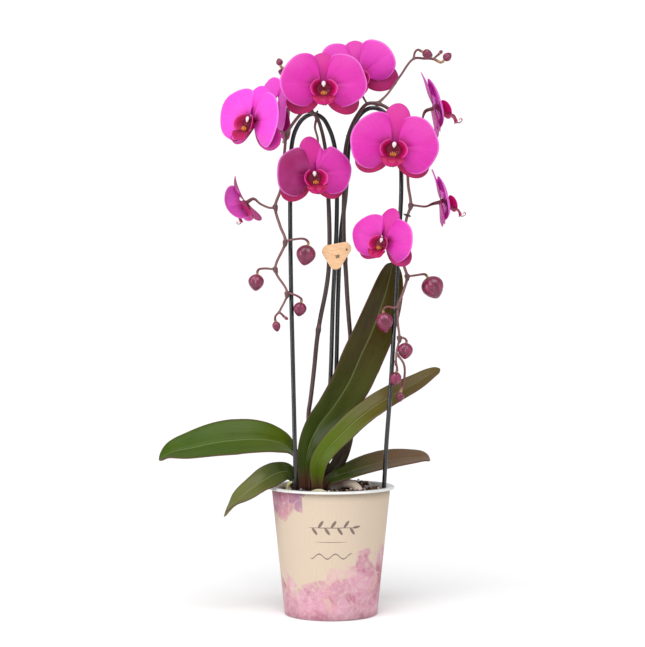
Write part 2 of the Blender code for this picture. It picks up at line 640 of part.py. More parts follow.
def sepal_grid(flower, angle, length, half, level):
    """A sepal as an oval blade from the hub, lying at its own level behind the petals."""
    rows, columns = 4, 2
    heading = math.radians(angle)
    along = Vector((math.cos(heading), math.sin(heading), 0))
    across = Vector((-along.y, along.x, 0))
    grid = []
    for row in range(rows + 1):
        share = row / rows
        width = half * (0.25 + 0.75 * math.sin(math.pi * share ** 0.8) if row < rows else 0.35)
        line = []
        for column in range(columns + 1):
            step = 2 * column / columns - 1
            point = along * (1.5 * MM + (length - 1.5 * MM) * share) + across * width * step
            point.z = level + 0.06 * length * math.sin(math.pi * share) * flower.sweep / 14
            line.append(point)
        grid.append(line)
    return grid


def lip_grid(flower):
    """The lip's raised side lobes as an open channel under the column."""
    scale = flower.span / 86
    half_width, height = 12.5 * MM * scale, 10.5 * MM * scale
    start = HUB_RADIUS + LIP_CLEARANCE
    grid = []
    for depth, flare in ((start, 0.72), (start + 5 * MM * scale, 1.0), (start + 9 * MM * scale, 0.9)):
        line = []
        for step in range(9):
            angle = math.radians(195 + 150 * step / 8)
            x = half_width * flare * math.cos(angle)
            y = height * flare * math.sin(angle) - 3.5 * MM * scale
            line.append(Vector((x, y, depth)))
        grid.append(line)
    return grid


def make_flower(name, flower):
    spot = above_bark(*flower.place)
    turn = facing(flower.turn, flower.tilt, flower.roll)
    span = flower.span * MM

    def placed(grid):
        return [[spot + turn @ point for point in line] for line in grid]

    pieces = [ball("hub", "petal", spot, [HUB_RADIUS] * 3, turn=turn)]
    column_middle = spot + turn @ Vector((0, 0.3 * HUB_RADIUS, COLUMN_REACH / 2))
    column_radii = (0.55 * HUB_RADIUS, 0.55 * HUB_RADIUS, COLUMN_REACH / 2)
    pieces.append(ball("column", "petal", column_middle, column_radii, 4, 6, turn))
    for side in (1, -1):
        pieces.append(sheet("petal", "petal", placed(petal_grid(flower, side)), TEPAL_THICKNESS))
    side_length, side_half = span * 0.47, span * 0.155
    sepals = (
        (90, span * flower.dorsal, span * 0.145, -1.1 * MM),
        (flower.lateral, side_length, side_half, -1.6 * MM),
        (180 - flower.lateral, side_length, side_half, -2.1 * MM))
    for angle, length, half, level in sepals:
        grid = placed(sepal_grid(flower, angle, length, half, level))
        pieces.append(sheet("sepal", "petal", grid, TEPAL_THICKNESS))
    combined("flower_" + name, "petal", pieces)

    scale = flower.span / 86
    cup = sheet("cup", "lip", placed(lip_grid(flower)), TEPAL_THICKNESS)
    tongue_middle = Vector((0, -14.5 * MM * scale, HUB_RADIUS + LIP_CLEARANCE + 8 * MM * scale))
    tongue_radii = (6 * MM * scale, 6.5 * MM * scale, 2.2 * MM * scale)
    tongue = ball("tongue", "lip", spot + turn @ tongue_middle, tongue_radii, 4, 8, turn)
    combined("lip_" + name, "lip", [cup, tongue])


def flower_back(flower):
    """Where a pedicel meets the back of a bloom, and the way it arrives."""
    turn = facing(flower.turn, flower.tilt, flower.roll)
    heading = turn @ Vector((0, 0, 1))
    return above_bark(*flower.place) - heading * (HUB_RADIUS + FIT_GAP), heading


def bud_base(bud):
    heading = Vector(bud.tip).normalized()
    return above_bark(*bud.place) - heading * (bud.length / 2 * MM + FIT_GAP), heading


def make_bud(name, bud):
    heading = Vector(bud.tip).normalized()
    turn = heading.to_track_quat("Z", "Y").to_matrix()
    segments = 8
    profile = [
        (0, -0.5), (0.28, -0.47), (0.46, -0.28), (0.5, -0.05), (0.42, 0.2), (0.22, 0.41), (0, 0.5)]
    made = turned("bud_" + name, "bud", [(radius * bud.width * MM, height * bud.length * MM)
                                         for radius, height in profile], segments)
    made.data.transform(Matrix.Translation(above_bark(*bud.place)) @ turn.to_4x4())
    return made


def make_spike(name, main, branches):
    """A flower spike with its branches and pedicels, joined into one body."""
    route = curve_through([above_bark(*point) for point in main], 11 * MM)
    radii = []
    for index in range(len(route)):
        share = index / (len(route) - 1)
        radii.append(STEM_RADIUS + (RACHIS_RADIUS - STEM_RADIUS) * min(max((share - 0.45) / 0.25, 0), 1))
    pieces = [tube("stem", "stem", route, radii, ROD_SIDES)]
    for points, end in branches:
        last, heading = flower_back(FLOWERS[end]) if end in FLOWERS else bud_base(BUDS[end])
        lead = 5 * MM if end in FLOWERS else 2 * MM
        points = [above_bark(*point) for point in points] + [last - heading * lead]
        branch = curve_through(points, 8 * MM) + [last]
        pieces.append(tube("branch", "stem", branch, PEDICEL_RADIUS, ROD_SIDES))
    return combined(name, "stem", pieces)


def clip_ring(name, centre, axis, held_radius, prong=()):
    """An open wire ring round a rod or stem, with an optional straight prong from its end."""
    axis = axis.normalized()
    across = Vector((0, -1, 0))
    across = (across - axis * across.dot(axis)).normalized()
    other = axis.cross(across)
    radius = held_radius + FIT_GAP + CLIP_WIRE
    sweep = 2 * math.pi - CLIP_OPENING
    route = []
    for step in range(17):
        angle = math.radians(60) - sweep * step / 16
        route.append(centre + (across * math.cos(angle) + other * math.sin(angle)) * radius)
    route = list(prong) + route
    return tube(name, "black_rod", route, CLIP_WIRE, ROD_SIDES)


def nearest_on(route, spot):
    """The route's nearest point to a spot and the direction there."""
    index = min(range(1, len(route) - 1), key=lambda at: (route[at] - spot).length)
    return route[index], (route[index + 1] - route[index - 1]).normalized()


def make_tag(pin):
    """A plain rounded three-cornered tag across the front of the stems, with a hole for the clip's pin."""
    outline = []
    for index, (x, z) in enumerate(TAG_CORNERS):
        for step in range(TAG_CORNER_STEPS + 1):
            angle = math.radians(210 - 120 * index - 120 * step / TAG_CORNER_STEPS)
            outline.append((x + TAG_CORNER_RADIUS * math.cos(angle), z + TAG_CORNER_RADIUS * math.sin(angle)))
    front = [above_bark(x, 0, z) + Vector((0, pin.y - TAG_THICKNESS, 0)) for x, z in outline]
    back = [point + Vector((0, TAG_THICKNESS, 0)) for point in front]
    count = len(outline)
    faces = [tuple(range(count)), tuple(range(count, 2 * count))]
    for index in range(count):
        after = (index + 1) % count
        faces.append((index, after, after + count, index + count))
    plate = new_object("plate", mesh_from("plate", front + back, faces), "tag_wood")
    through = [pin + Vector((0, 2 * TAG_THICKNESS, 0)), pin - Vector((0, 4 * TAG_THICKNESS, 0))]
    hole = tube("pin_hole", "tag_wood", through, (CLIP_WIRE + FIT_GAP) * FLAT_CLEAR, ROD_SIDES)
    return combined("name_tag", "tag_wood", [plate, hole], "DIFFERENCE")


def make_clips(left_route, right_route, right_spike_route):
    centre, axis = nearest_on(left_route, above_bark(-14, -1, 376))
    clip_ring("clip_left_arch", centre, axis, ROD_RADIUS)
    centre, axis = nearest_on(right_route, above_bark(20, 2, 354))
    clip_ring("clip_right_arch", centre, axis, ROD_RADIUS)
    centre, axis = nearest_on(right_spike_route, above_bark(76, -13, 274))
    clip_ring("clip_right_spike", centre, axis, STEM_RADIUS)
    centre, axis = nearest_on(right_spike_route, above_bark(13, -3, 241))
    pin = above_bark(15.5, -11, 241)
    ring_start = centre + Vector((1, -1, 0)).normalized() * (STEM_RADIUS + FIT_GAP + CLIP_WIRE)
    bend = ring_start + Vector((1.6, -2.2, 0)) * MM
    prong = (pin - Vector((0, 2.5, 0)) * MM, pin + Vector((0, 1.5, 0)) * MM, bend)
    clip_ring("clip_tag", centre, axis, STEM_RADIUS, prong)
    make_tag(pin)


def main():
    clear_scene()
    make_pot()
    make_sleeve()
    left_hoop = hoop_route(upright_leg(LEFT_HOOP_FEET[0]), LEFT_HOOP, upright_leg(LEFT_HOOP_FEET[1]))
    wall_leg = [wall_leg_point(ROD_DEPTH), wall_leg_point(0)]
    right_hoop = hoop_route(wall_leg, RIGHT_HOOP, upright_leg(RIGHT_HOOP_INNER_FOOT))
    make_roots_and_bark((left_hoop, right_hoop))
    tube("hoop_left", "black_rod", left_hoop, ROD_RADIUS, ROD_SIDES)
    tube("hoop_right", "black_rod", right_hoop, ROD_RADIUS, ROD_SIDES)
    make_crown("crown")
    for name, leaf in LEAVES.items():
        make_leaf(name, leaf)
    for name, flower in FLOWERS.items():
        make_flower(name, flower)
    for name, bud in BUDS.items():
        make_bud(name, bud)
    make_spike("spike_left", LEFT_SPIKE, LEFT_BRANCHES)
    make_spike("spike_right", RIGHT_SPIKE, RIGHT_BRANCHES)
    right_spike_route = curve_through([above_bark(*point) for point in RIGHT_SPIKE], 11 * MM)
    make_clips(left_hoop, right_hoop, right_spike_route)


main()
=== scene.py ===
"""Looks of the potted moth orchid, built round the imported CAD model.

Metres, +Z up, with the origin at the centre of the pot's foot and the front of the plant towards -Y.
Places on the plant are in millimetres, with their height measured from the top of the bark.
"""

import math
import random
from collections import namedtuple
from functools import partialmethod

import bmesh
import bpy
from mathutils import Matrix, Vector, noise


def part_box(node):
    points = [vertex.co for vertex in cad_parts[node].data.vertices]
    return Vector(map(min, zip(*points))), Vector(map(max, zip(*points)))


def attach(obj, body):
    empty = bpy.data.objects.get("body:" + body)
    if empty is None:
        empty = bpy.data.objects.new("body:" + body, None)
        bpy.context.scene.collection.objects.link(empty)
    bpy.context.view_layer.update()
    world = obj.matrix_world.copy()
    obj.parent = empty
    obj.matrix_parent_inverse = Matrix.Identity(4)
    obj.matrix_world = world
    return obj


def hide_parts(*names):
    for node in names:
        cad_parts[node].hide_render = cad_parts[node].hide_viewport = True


MM = 0.001
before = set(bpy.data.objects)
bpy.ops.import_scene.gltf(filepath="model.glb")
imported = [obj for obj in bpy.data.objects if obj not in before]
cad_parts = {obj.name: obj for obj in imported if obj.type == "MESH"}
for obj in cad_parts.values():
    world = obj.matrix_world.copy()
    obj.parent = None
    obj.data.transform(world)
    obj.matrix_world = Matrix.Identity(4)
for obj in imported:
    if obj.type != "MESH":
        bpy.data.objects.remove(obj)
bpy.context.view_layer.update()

# Driving sizes, from the frame
POT_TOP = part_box("grow_pot")[1].z
FLANGE_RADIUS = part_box("grow_pot")[1].x
SLEEVE_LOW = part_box("pot_sleeve")[0].z
SLEEVE_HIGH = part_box("pot_sleeve")[1].z
SLEEVE_TOP_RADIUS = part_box("pot_sleeve")[1].x
SLEEVE_FOOT_RADIUS = 46.2 * MM
SLEEVE_WALL = 0.7 * MM
POT_WALL = 1.2 * MM
BARK_TOP = POT_TOP - 5.5 * MM
BARK_RADIUS = SLEEVE_TOP_RADIUS - 3.0 * MM
ROD_RADIUS = 2.2 * MM
ROD_DEPTH = 35.0

# Towards the front of the plant
FORWARD = Vector((0, -1, 0))

# Where a turned solid closes on its axis
AXIS_RADIUS = 0.01 * MM

# Pot floor and rim
FLOOR_RADIUS = 30 * MM
FLOOR_LOW = 0.4 * MM
FLOOR_HIGH = 1.9 * MM
RIM_ROUND = 1.5 * MM
SLEEVE_GAP = 0.3 * MM

# Potting mix: how many chips and white grains, and how high the chips are heaped at the back
CHIP_COUNT = 430
GRAIN_COUNT = 95
HEAP_HEIGHT = 5.0 * MM

# How many flat sides stand for a full circle of the pot and of the sleeve
POT_SEGMENTS = 144
SLEEVE_SEGMENTS = 180

# Spikes, in millimetres: radius at the foot, how much thinner they get over the arch and at the tip, a
# branch's radius, and how far a node's swelling reaches
STEM_RADIUS = 2.3
STEM_LOSS = 0.8
STEM_TIP_LOSS = 0.4
BRANCH_RADIUS = 1.15
NODE_REACH = 2.6

# Leaves: how far the base clasps the crown, the groove along the midrib and the waving of the margin
LEAF_CLASP = 3.2 * MM
LEAF_GROOVE = 0.9 * MM
LEAF_WAVE = 0.5 * MM

# Print on the sleeve, in millimetres: the radius it is drawn at, and the height and swing of its top edge
PRINT_RADIUS = 50.0
PRINT_TOP = 48.0
PRINT_SWING = 19.0

# Watercolour blossoms of the print: their two hues and their pale wash, low and high on the sleeve, as
# display values; and for each layer where it lies, its blossoms' size, a seed and its strength
PRINT_TINTS = {
    "low": ((218, 142, 170), (178, 96, 124), (240, 204, 218)),
    "high": ((196, 112, 146), (152, 98, 142), (220, 160, 184)),
}
PRINT_LAYERS = (("low", 36.0, 31.0, 0.85), ("low", 26.0, 57.0, 0.75), ("low", 17.0, 83.0, 0.55),
                ("high", 28.0, 13.0, 0.80), ("high", 18.0, 71.0, 0.60))

# Thin parts of the plant
LEAF_THICK = 2.0 * MM
PETAL_THICK = 0.7 * MM
SEPAL_THICK = 0.8 * MM
SHEATH_THICK = 0.9 * MM
BRACT_THICK = 0.45 * MM

# How thick a sheet is at its edges, as a share of its thickness
SHEET_RIM = 0.4

# Wire of the clips: the ring, and the finger loops at its ends
CLIP_WIRE = 0.9 * MM
CLIP_LOOP_WIRE = 0.65 * MM

# Camera: a level view from in front, and how much of the plane through the plant it takes in
CAMERA_PLACE = (-0.0085, -1.6, 0.2895)
CAMERA_FRAME = 0.647

# Studio: the even light of the white room and its brightness to the camera, the large soft key light, and
# the share of their display values that surfaces are painted with
ROOM_LIGHT = 0.58
BACKDROP_LIGHT = 1.05
KEY_LIGHT = 2.0
PAINT_SHARE = 0.82

random.seed(7)


def srgb(red, green, blue):
    """The linear colour of a surface that shows these display values, 0 to 255, in the studio's light."""
    values = [value / 255 for value in (red, green, blue)]
    values = [((value + 0.055) / 1.055) ** 2.4 if value > 0.04 else value / 12.92 for value in values]
    return tuple(value * PAINT_SHARE for value in values) + (1,)


def plant(x, y, z):
    """A point given in millimetres, with its height from the top of the bark."""
    return Vector((x * MM, y * MM, BARK_TOP + z * MM))


def clamp(value):
    return min(max(value, 0.0), 1.0)


def smooth_step(value):
    value = clamp(value)
    return value * value * (3 - 2 * value)


def square_to(direction, axis):
    """The unit direction nearest to a given one that is at right angles to an axis."""
    return (direction - axis * direction.dot(axis)).normalized()


def turned(radius, angle, height):
    """A point at a radius, an angle and a height about the pot's axis."""
    return Vector((radius * math.cos(angle), radius * math.sin(angle), height))


def ring_way(first, second, angle):
    """The unit direction at an angle from the first of two square directions towards the second."""
    return first * math.cos(angle) + second * math.sin(angle)


def new_object(name, data):
    made = bpy.data.objects.new(name, data)
    bpy.context.scene.collection.objects.link(made)
    return made


# ---------------------------------------------------------------------------------------------------------
# Plant layout
# ---------------------------------------------------------------------------------------------------------

# A flower's place, its turn to the right and tilt up from facing front, its roll, and its width across the
# petals; then the lift of the petals' lower edges, their forward sweep, the side sepals' angle, the top
# sepal's length as a share of the width, how much paler the bloom is painted (on the side blooms this is
# painted light), how much its rims wave, how much further its petals reach above and below than the common
# outline, and how much painted shade darkens its petals on each side.
Flower = namedtuple("Flower", "place turn tilt roll span lift sweep lateral dorsal pale wave crown chin dusk",
                    defaults=(0, 14, -33, 0.46, 0.0, 0.8, 0.0, 0.0, (0.0, 0.0)))
FLOWERS = {
    "left_upper": Flower((-75.5, -27, 366.5), -45, 2, -12, 88, lateral=-27, dorsal=0.40, pale=1.0),
    "top_front": Flower((-8, -38, 399.5), 4, 0, 0, 86, dorsal=0.38, crown=0.08, chin=-0.1),
    "left_back": Flower((-53, 33, 387), -66, 4, -20, 84, pale=0.75),
    "top_back": Flower((26, 5, 415), -5, 0, 5, 88, lift=50, lateral=-6, dorsal=0.42, pale=0.3, crown=0.12),
    "left_middle": Flower((-18.5, -31, 313.5), 16, -3, 5, 78, dorsal=0.48, wave=1.4, crown=0.03,
                          dusk=(1.0, 0.25)),
    "right_middle": Flower((61.5, -36, 340.5), -2, 0, -7, 88, dorsal=0.49, crown=0.06, chin=0.05),
    "right_lower": Flower((53, -34, 248), -34, 2, -12, 72, lateral=-27, pale=0.2, wave=1.2, chin=-0.06),
    "right_side_upper": Flower((105, 16, 385), 89, 16, 0, 84, sweep=6, pale=1.0, wave=0.1),
    "right_side_lower": Flower((111.5, 3, 289.5), 89, 12, 0, 74, sweep=6, pale=1.0, wave=0.1),
    "left_side": Flower((-85, -11, 287), -98, -28, 0, 62, sweep=30, wave=0.4),
}

# A bud's middle, its length and width, and where its tip points
Bud = namedtuple("Bud", "place length width tip")
BUDS = {
    "left_first": Bud((-25, -17, 235), 21, 18, (-0.2, 0, -1)),
    "left_second": Bud((-74, -15, 208), 17, 15, (-0.1, 0, -1)),
    "left_third": Bud((-31, -18, 181.5), 14.5, 13, (-0.2, 0, -1)),
    "left_fourth": Bud((-54, -17, 164.5), 10.5, 8.5, (0.2, 0, -1)),
    "left_tip": Bud((-44.2, -16, 172.6), 4.2, 3.6, (0.8, 0, -0.6)),
    "right_first": Bud((101, -9, 203), 23.5, 22.5, (0.5, 0, -1)),
    "right_second": Bud((52.4, -26, 168.5), 20.5, 16, (0.1, 0, -1)),
    "right_third": Bud((73, -28, 140.5), 16.5, 14, (-0.1, 0, -1)),
    "right_fourth": Bud((62.5, -39, 113.5), 14, 11, (-0.2, 0, -1)),
    "right_fifth": Bud((67.8, -31, 95.5), 10, 7.5, (-0.1, 0, -1)),
    "top_right_first": Bud((96.5, -1.2, 436.8), 11, 9.5, (0.9, 0, -0.4)),
    "top_right_second": Bud((117, 6, 435.2), 10, 9, (0.7, 0, 0.7)),
    "top_right_tip": Bud((110.4, 6, 440), 4.5, 3.8, (0.7, 0, 0.7)),
    "top_left_lower": Bud((-48.5, -11, 417), 8.5, 7.5, (-0.9, 0, 0.3)),
    "top_left_upper": Bud((-51, -19, 426), 7.5, 6.5, (-0.3, 0, 1)),
}

# A leaf's midrib from base to tip; how its blade lies across at the base, the middle and the tip; its half
# widths at base and middle; how far the midrib sinks; its colours above and below, as display values; how
# slowly it widens from its base; and how pointed its tip is.
Leaf = namedtuple("Leaf", "midrib across base_half middle_half fold upper tip under slow point",
                  defaults=(0.85, 0.5))
LEAVES = {
    "left": Leaf(
        ((-29, 1, 3), (-31, 1, 18), (-34.5, -1, 34), (-43, -6, 46), (-58, -12, 52), (-74, -16, 54),
         (-93, -19, 53.5), (-112, -22, 51.5), (-138, -26, 46), (-159, -28, 41), (-169, -29, 33)),
        ((0.1, 1, 0), (0, 0.78, 0.68), (0.1, 0.8, 0.6)), 6.0, 24.5, 5.5,
        (74, 90, 0), (60, 86, 0), (120, 92, 64), 1.5, 0.6),
    "tall": Leaf(
        ((-25.5, -12.5, 3), (-26, -13.5, 22), (-22.5, -11.5, 44), (-13, -7, 64), (3, -3, 84), (18, -2, 107),
         (31, -3, 136), (42, -1, 160), (53, 3, 190), (59.5, 7, 214), (62.5, 10, 229)),
        ((0.9, -0.4, 0), (0.95, 0.3, -0.2), (0.9, 0.4, 0)), 6.0, 22.0, 7.0,
        (50, 66, 0), (66, 50, 8), (104, 92, 56), 1.25, 0.45),
    "right": Leaf(
        ((-13, -16, 3), (-13.5, -19, 16), (-11, -23, 32), (0, -25, 48), (12, -23, 60), (26, -19, 73),
         (47, -12, 88), (65, -5, 98), (85, 3, 108), (100, 9, 117), (110, 12, 122)),
        ((-0.95, 0.2, 0.1), (-0.6, 0.35, 0.7), (-0.35, 0.75, 0.5)), 6.0, 12.0, 3.0,
        (84, 104, 10), (98, 78, 38), (150, 118, 98), 0.6, 0.4),
    "lower_right": Leaf(
        ((-6, -11, 3), (-3, -11, 10), (8, -8, 16), (25, 2, 22), (44, 11, 27), (64, 17, 30.5),
         (82, 21, 32), (95, 23, 32), (101, 24, 29)),
        ((-0.6, 0.4, 0.6), (-0.3, 0.75, 0.55), (-0.1, 0.9, 0.4)), 4.5, 15.0, 3.0,
        (50, 62, 8), (118, 90, 70), (160, 128, 110), 1.0, 0.3),
    "lower_left": Leaf(
        ((-34, -11, 3), (-37.5, -13, 14), (-43, -17, 21), (-54, -24, 20), (-66, -32, 14), (-79, -38, 5),
         (-92, -43, -5), (-100, -46, -14), (-104, -48, -20)),
        ((0.5, 0.8, 0), (0.45, 0.6, 0.7), (0.45, 0.6, 0.65)), 5.0, 13.0, 2.5,
        (46, 60, 10), (110, 112, 60), (128, 124, 74), 0.8, 0.4),
}

# How far along a leaf and a sepal are widest
LEAF_WIDEST = 0.56
SEPAL_WIDEST = 0.56

# Aerial roots over the bark: radius, how green they are, and route
ROOTS = {
    "right": (4.4, 0.05, ((-2, 6, -3), (6, 3, 5), (15, 0, 8), (24, -2, 5), (31, -3, -4))),
    "left": (3.0, 0.05, ((-52, 4, -5), (-50, 0, 3), (-45, -5, 5.5), (-42, -12, 3), (-40, -17, -5))),
    "front": (2.4, 0.55, ((-24, -30, -5), (-19, -32, 1), (-12, -34, 3), (-5, -35, 1), (0, -35, -5))),
    "thin": (1.4, 1.0, ((-46, -24, -5), (-43, -26, 3), (-42, -28, 9), (-39, -31, 12))),
}

# Hoop routes above the bark, from the outer leg over the arch to the inner leg
LEFT_HOOP = (
    (-34.5, -24.1, -ROD_DEPTH), (-34.5, -24.1, 0),
    (-35.6, -29, 45), (-36.6, -27, 85), (-38.4, -19, 154), (-39.8, -12, 210), (-40.6, -8, 270),
    (-40.5, -5, 316), (-39.2, -4, 345), (-35.4, -3, 360.5), (-28, -2, 372), (-18, -1, 377),
    (-8.5, 0, 373), (-1.3, 0, 361), (3.3, 0, 346), (5.5, 0, 326), (6, 0, 301), (5.4, 1, 260),
    (3.5, 2, 220), (2, 3, 190), (0, 5, 124), (-2, 6, 80), (-4, 8, 0), (-4, 8, -ROD_DEPTH))
RIGHT_HOOP = (
    (48.5, -11.2, -ROD_DEPTH), (52.1, -12, 0),
    (54.7, -23, 52), (56.4, -29.5, 78), (57.6, -31, 95), (59.2, -30, 118), (61, -25, 146),
    (63.5, -16, 185), (66, -11, 225), (68, -8, 260), (70, -5, 300), (69.2, -3, 335), (64.9, -2, 359),
    (58, -1, 373.5), (49, 0, 381.5), (40, 0, 383), (32, 0, 379), (25, 1, 370), (20, 2, 356),
    (17.5, 3, 341), (16.3, 4, 320), (14.6, 5, 294), (11.5, 6, 271), (9.5, 7, 251), (8, 7.5, 220),
    (7, 8, 190), (5.5, 10, 124), (4.5, 11.5, 91), (3, 14, 0), (3, 14, -ROD_DEPTH))

# Flower spikes: the main route, then side branches as (route, end), where the end names a flower or bud
LEFT_SPIKE = (
    (-20, 8, 3), (-22, 9.5, 50), (-22.5, 8, 77), (-20.5, 5, 91), (-17, 1, 121), (-14, -2, 151),
    (-11, -4, 171), (-5, -6, 201), (-2.5, -7, 220), (-1.5, -7, 250), (-2, -7, 276), (-3, -7, 300),
    (-4, -7, 325), (-6, -7, 343), (-9.5, -8, 360), (-14, -10, 372), (-20, -11, 378), (-27, -12, 377.5),
    (-35.8, -13, 368.5), (-43.7, -14, 355), (-46, -15, 339), (-47.5, -15, 320), (-50, -15, 300),
    (-55.3, -15, 283), (-50.5, -15, 264), (-45.3, -16, 249), (-55.3, -16, 221), (-43.6, -17, 198),
    (-51.4, -17, 178.6))
LEFT_BRANCHES = (
    (((-43.7, -14, 355), (-50, -13, 358), (-62, -14, 363)), "left_upper"),
    (((-20, -11, 378), (-15, -16, 387), (-11, -24, 396)), "top_front"),
    (((-43.7, -14, 355), (-46, -4, 351), (-48, 12, 350), (-48, 30, 354), (-46, 44, 366),
     (-44, 47, 379)), "left_back"),
    (((-14, -10, 372), (-16, -16, 362), (-13, -20, 348), (-16, -20, 330)), "left_middle"),
    (((-55.3, -15, 283), (-60, -14, 282), (-70, -14, 286)), "left_side"),
    (((-45.3, -16, 249), (-35, -17, 251), (-26, -17, 251)), "left_first"),
    (((-55.3, -16, 221), (-65, -15, 222), (-72, -15, 221)), "left_second"),
    (((-43.6, -17, 198), (-35, -18, 195.5), (-29.5, -18, 192)), "left_third"),
    (((-51.4, -17, 178.6), (-55, -17, 175)), "left_fourth"),
    (((-51.4, -17, 178.6), (-48, -16.5, 176)), "left_tip"),
    (((-20, -11, 378), (-27, -15, 390), (-37, -17, 404), (-43, -19, 414),
     (-48, -19, 420.5)), "top_left_upper"),
    (((-37, -17, 404), (-41, -13, 413)), "top_left_lower"),
)
LEFT_NODES = ((-12.5, -3, 161), (-1.8, -7, 238), (-22, 9, 40), (-55.3, -15, 283), (-45.3, -16, 249),
              (-55.3, -16, 221), (-43.6, -17, 198), (-43.7, -14, 355), (-20, -11, 378))
RIGHT_SPIKE = (
    (-8.5, 5, 3), (-3.5, -1, 14), (7, 1, 28), (17, 9, 50), (24, 13, 75), (26, 12, 100), (24, 9, 126),
    (20, 5, 151), (16.5, 0, 191), (14.8, -2, 220), (13, -3, 246), (12.5, -4, 271), (13, -4.5, 294),
    (13.5, -4.5, 321), (14.5, -5, 341), (19, -6, 360), (27, -7, 376), (36, -8, 386), (46, -9, 386),
    (57, -10, 381), (67, -11, 369), (73, -12, 352), (75.5, -13, 330), (76.5, -13, 305), (79, -13, 285),
    (75, -13, 272), (72, -13, 250), (72.3, -14, 225), (75.3, -15, 214), (71.6, -19, 200),
    (66.5, -23, 186), (65.4, -26, 170.5), (67, -28, 153), (64.3, -30, 140), (63.2, -31, 127))
RIGHT_BRANCHES = (
    (((46, -9, 386), (56, -5, 396), (68.5, 0, 414), (83, 4, 433), (93, 6, 433.5), (103, 6, 433),
     (110, 6, 429.5)), "top_right_second"),
    (((83, 4, 433), (84, 2, 439), (87, 0, 441.5)), "top_right_first"),
    (((103, 6, 433), (106, 6, 436)), "top_right_tip"),
    (((36, -8, 386), (38, 2, 387), (36, 14, 390), (31, 18, 400)), "top_back"),
    (((73, -12, 352), (70, -18, 350)), "right_middle"),
    (((72, -12, 357), (81, -8, 362), (90, 0, 370)), "right_side_upper"),
    (((79, -13, 285), (85, -11, 284.5), (94, -6, 284)), "right_side_lower"),
    (((72, -13, 262), (70, -20, 262), (62, -24, 258)), "right_lower"),
    (((75.3, -15, 214), (85, -12, 215.5), (93, -10, 216.5)), "right_first"),
    (((65.5, -25, 184), (61, -27, 183), (55, -26, 184)), "right_second"),
    (((67, -28, 153), (70.5, -28, 153.5)), "right_third"),
    (((63.2, -32, 130), (64, -36.5, 126)), "right_fourth"),
    (((64.3, -30, 138), (71.5, -30, 127), (71.5, -30, 112)), "right_fifth"),
)
RIGHT_NODES = ((13.8, -3, 232), (20, 5, 151), (79, -13, 285), (75.3, -15, 214), (66.5, -23, 186),
               (67, -28, 153), (46, -9, 386), (73, -12, 352), (26, 12, 100))

# Skins of petals and sepals: display colours at the claw, the middle and the rim (painted paler at the edge
# as sheen), a seed, and how strongly the veins show; then the colour that the palest petals turn to, partly
# painted light, and the colour that the darkest petals turn to as painted shade
TEPALS = {
    "petal_face": ((176, 14, 104), (220, 34, 172), (248, 132, 232), 1.0, 0.15),
    "petal_back": ((200, 56, 142), (232, 84, 204), (246, 150, 230), 6.0, 0.15),
    "sepal_dorsal": ((190, 22, 130), (212, 32, 150), (238, 96, 204), 2.0, 0.15),
    "sepal_side": ((138, 0, 60), (184, 0, 94), (216, 36, 136), 3.0, 0.15),
    "sepal_back": ((160, 44, 96), (206, 70, 150), (232, 130, 196), 7.0, 0.3),
}
PALE_AND_LIT_BLOOM = (252, 74, 226)
PAINTED_SHADE_BLOOM = (140, 0, 80)

# A petal's reach at angles measured up from its own side, as a share of the longest reach
PETAL_OUTLINE = (
    (-70, 0.44), (-56, 0.68), (-40, 0.83), (-22, 0.93), (3, 0.99), (27, 0.96), (45, 0.90), (62, 0.83),
    (74, 0.76), (84, 0.62), (88, 0.38))
PETAL_CLAW = 3.2

# The lip, its threads and the column are drawn for a bloom of this width; the lip starts this far forward
DRAWN_SPAN = 86
LIP_START = 5.4

# Wooden tag: its three corners and their rounding, its pin, and the middle of its stamped leaf
TAG_CORNERS = ((-2.5, 239.0), (13.5, 242.0), (4.5, 227.5))
TAG_CORNER_RADIUS = 6.5
TAG_PIN = (15.5, -11, 241)
TAG_MARK = (6.5, 234)


# ---------------------------------------------------------------------------------------------------------
# Materials
# ---------------------------------------------------------------------------------------------------------

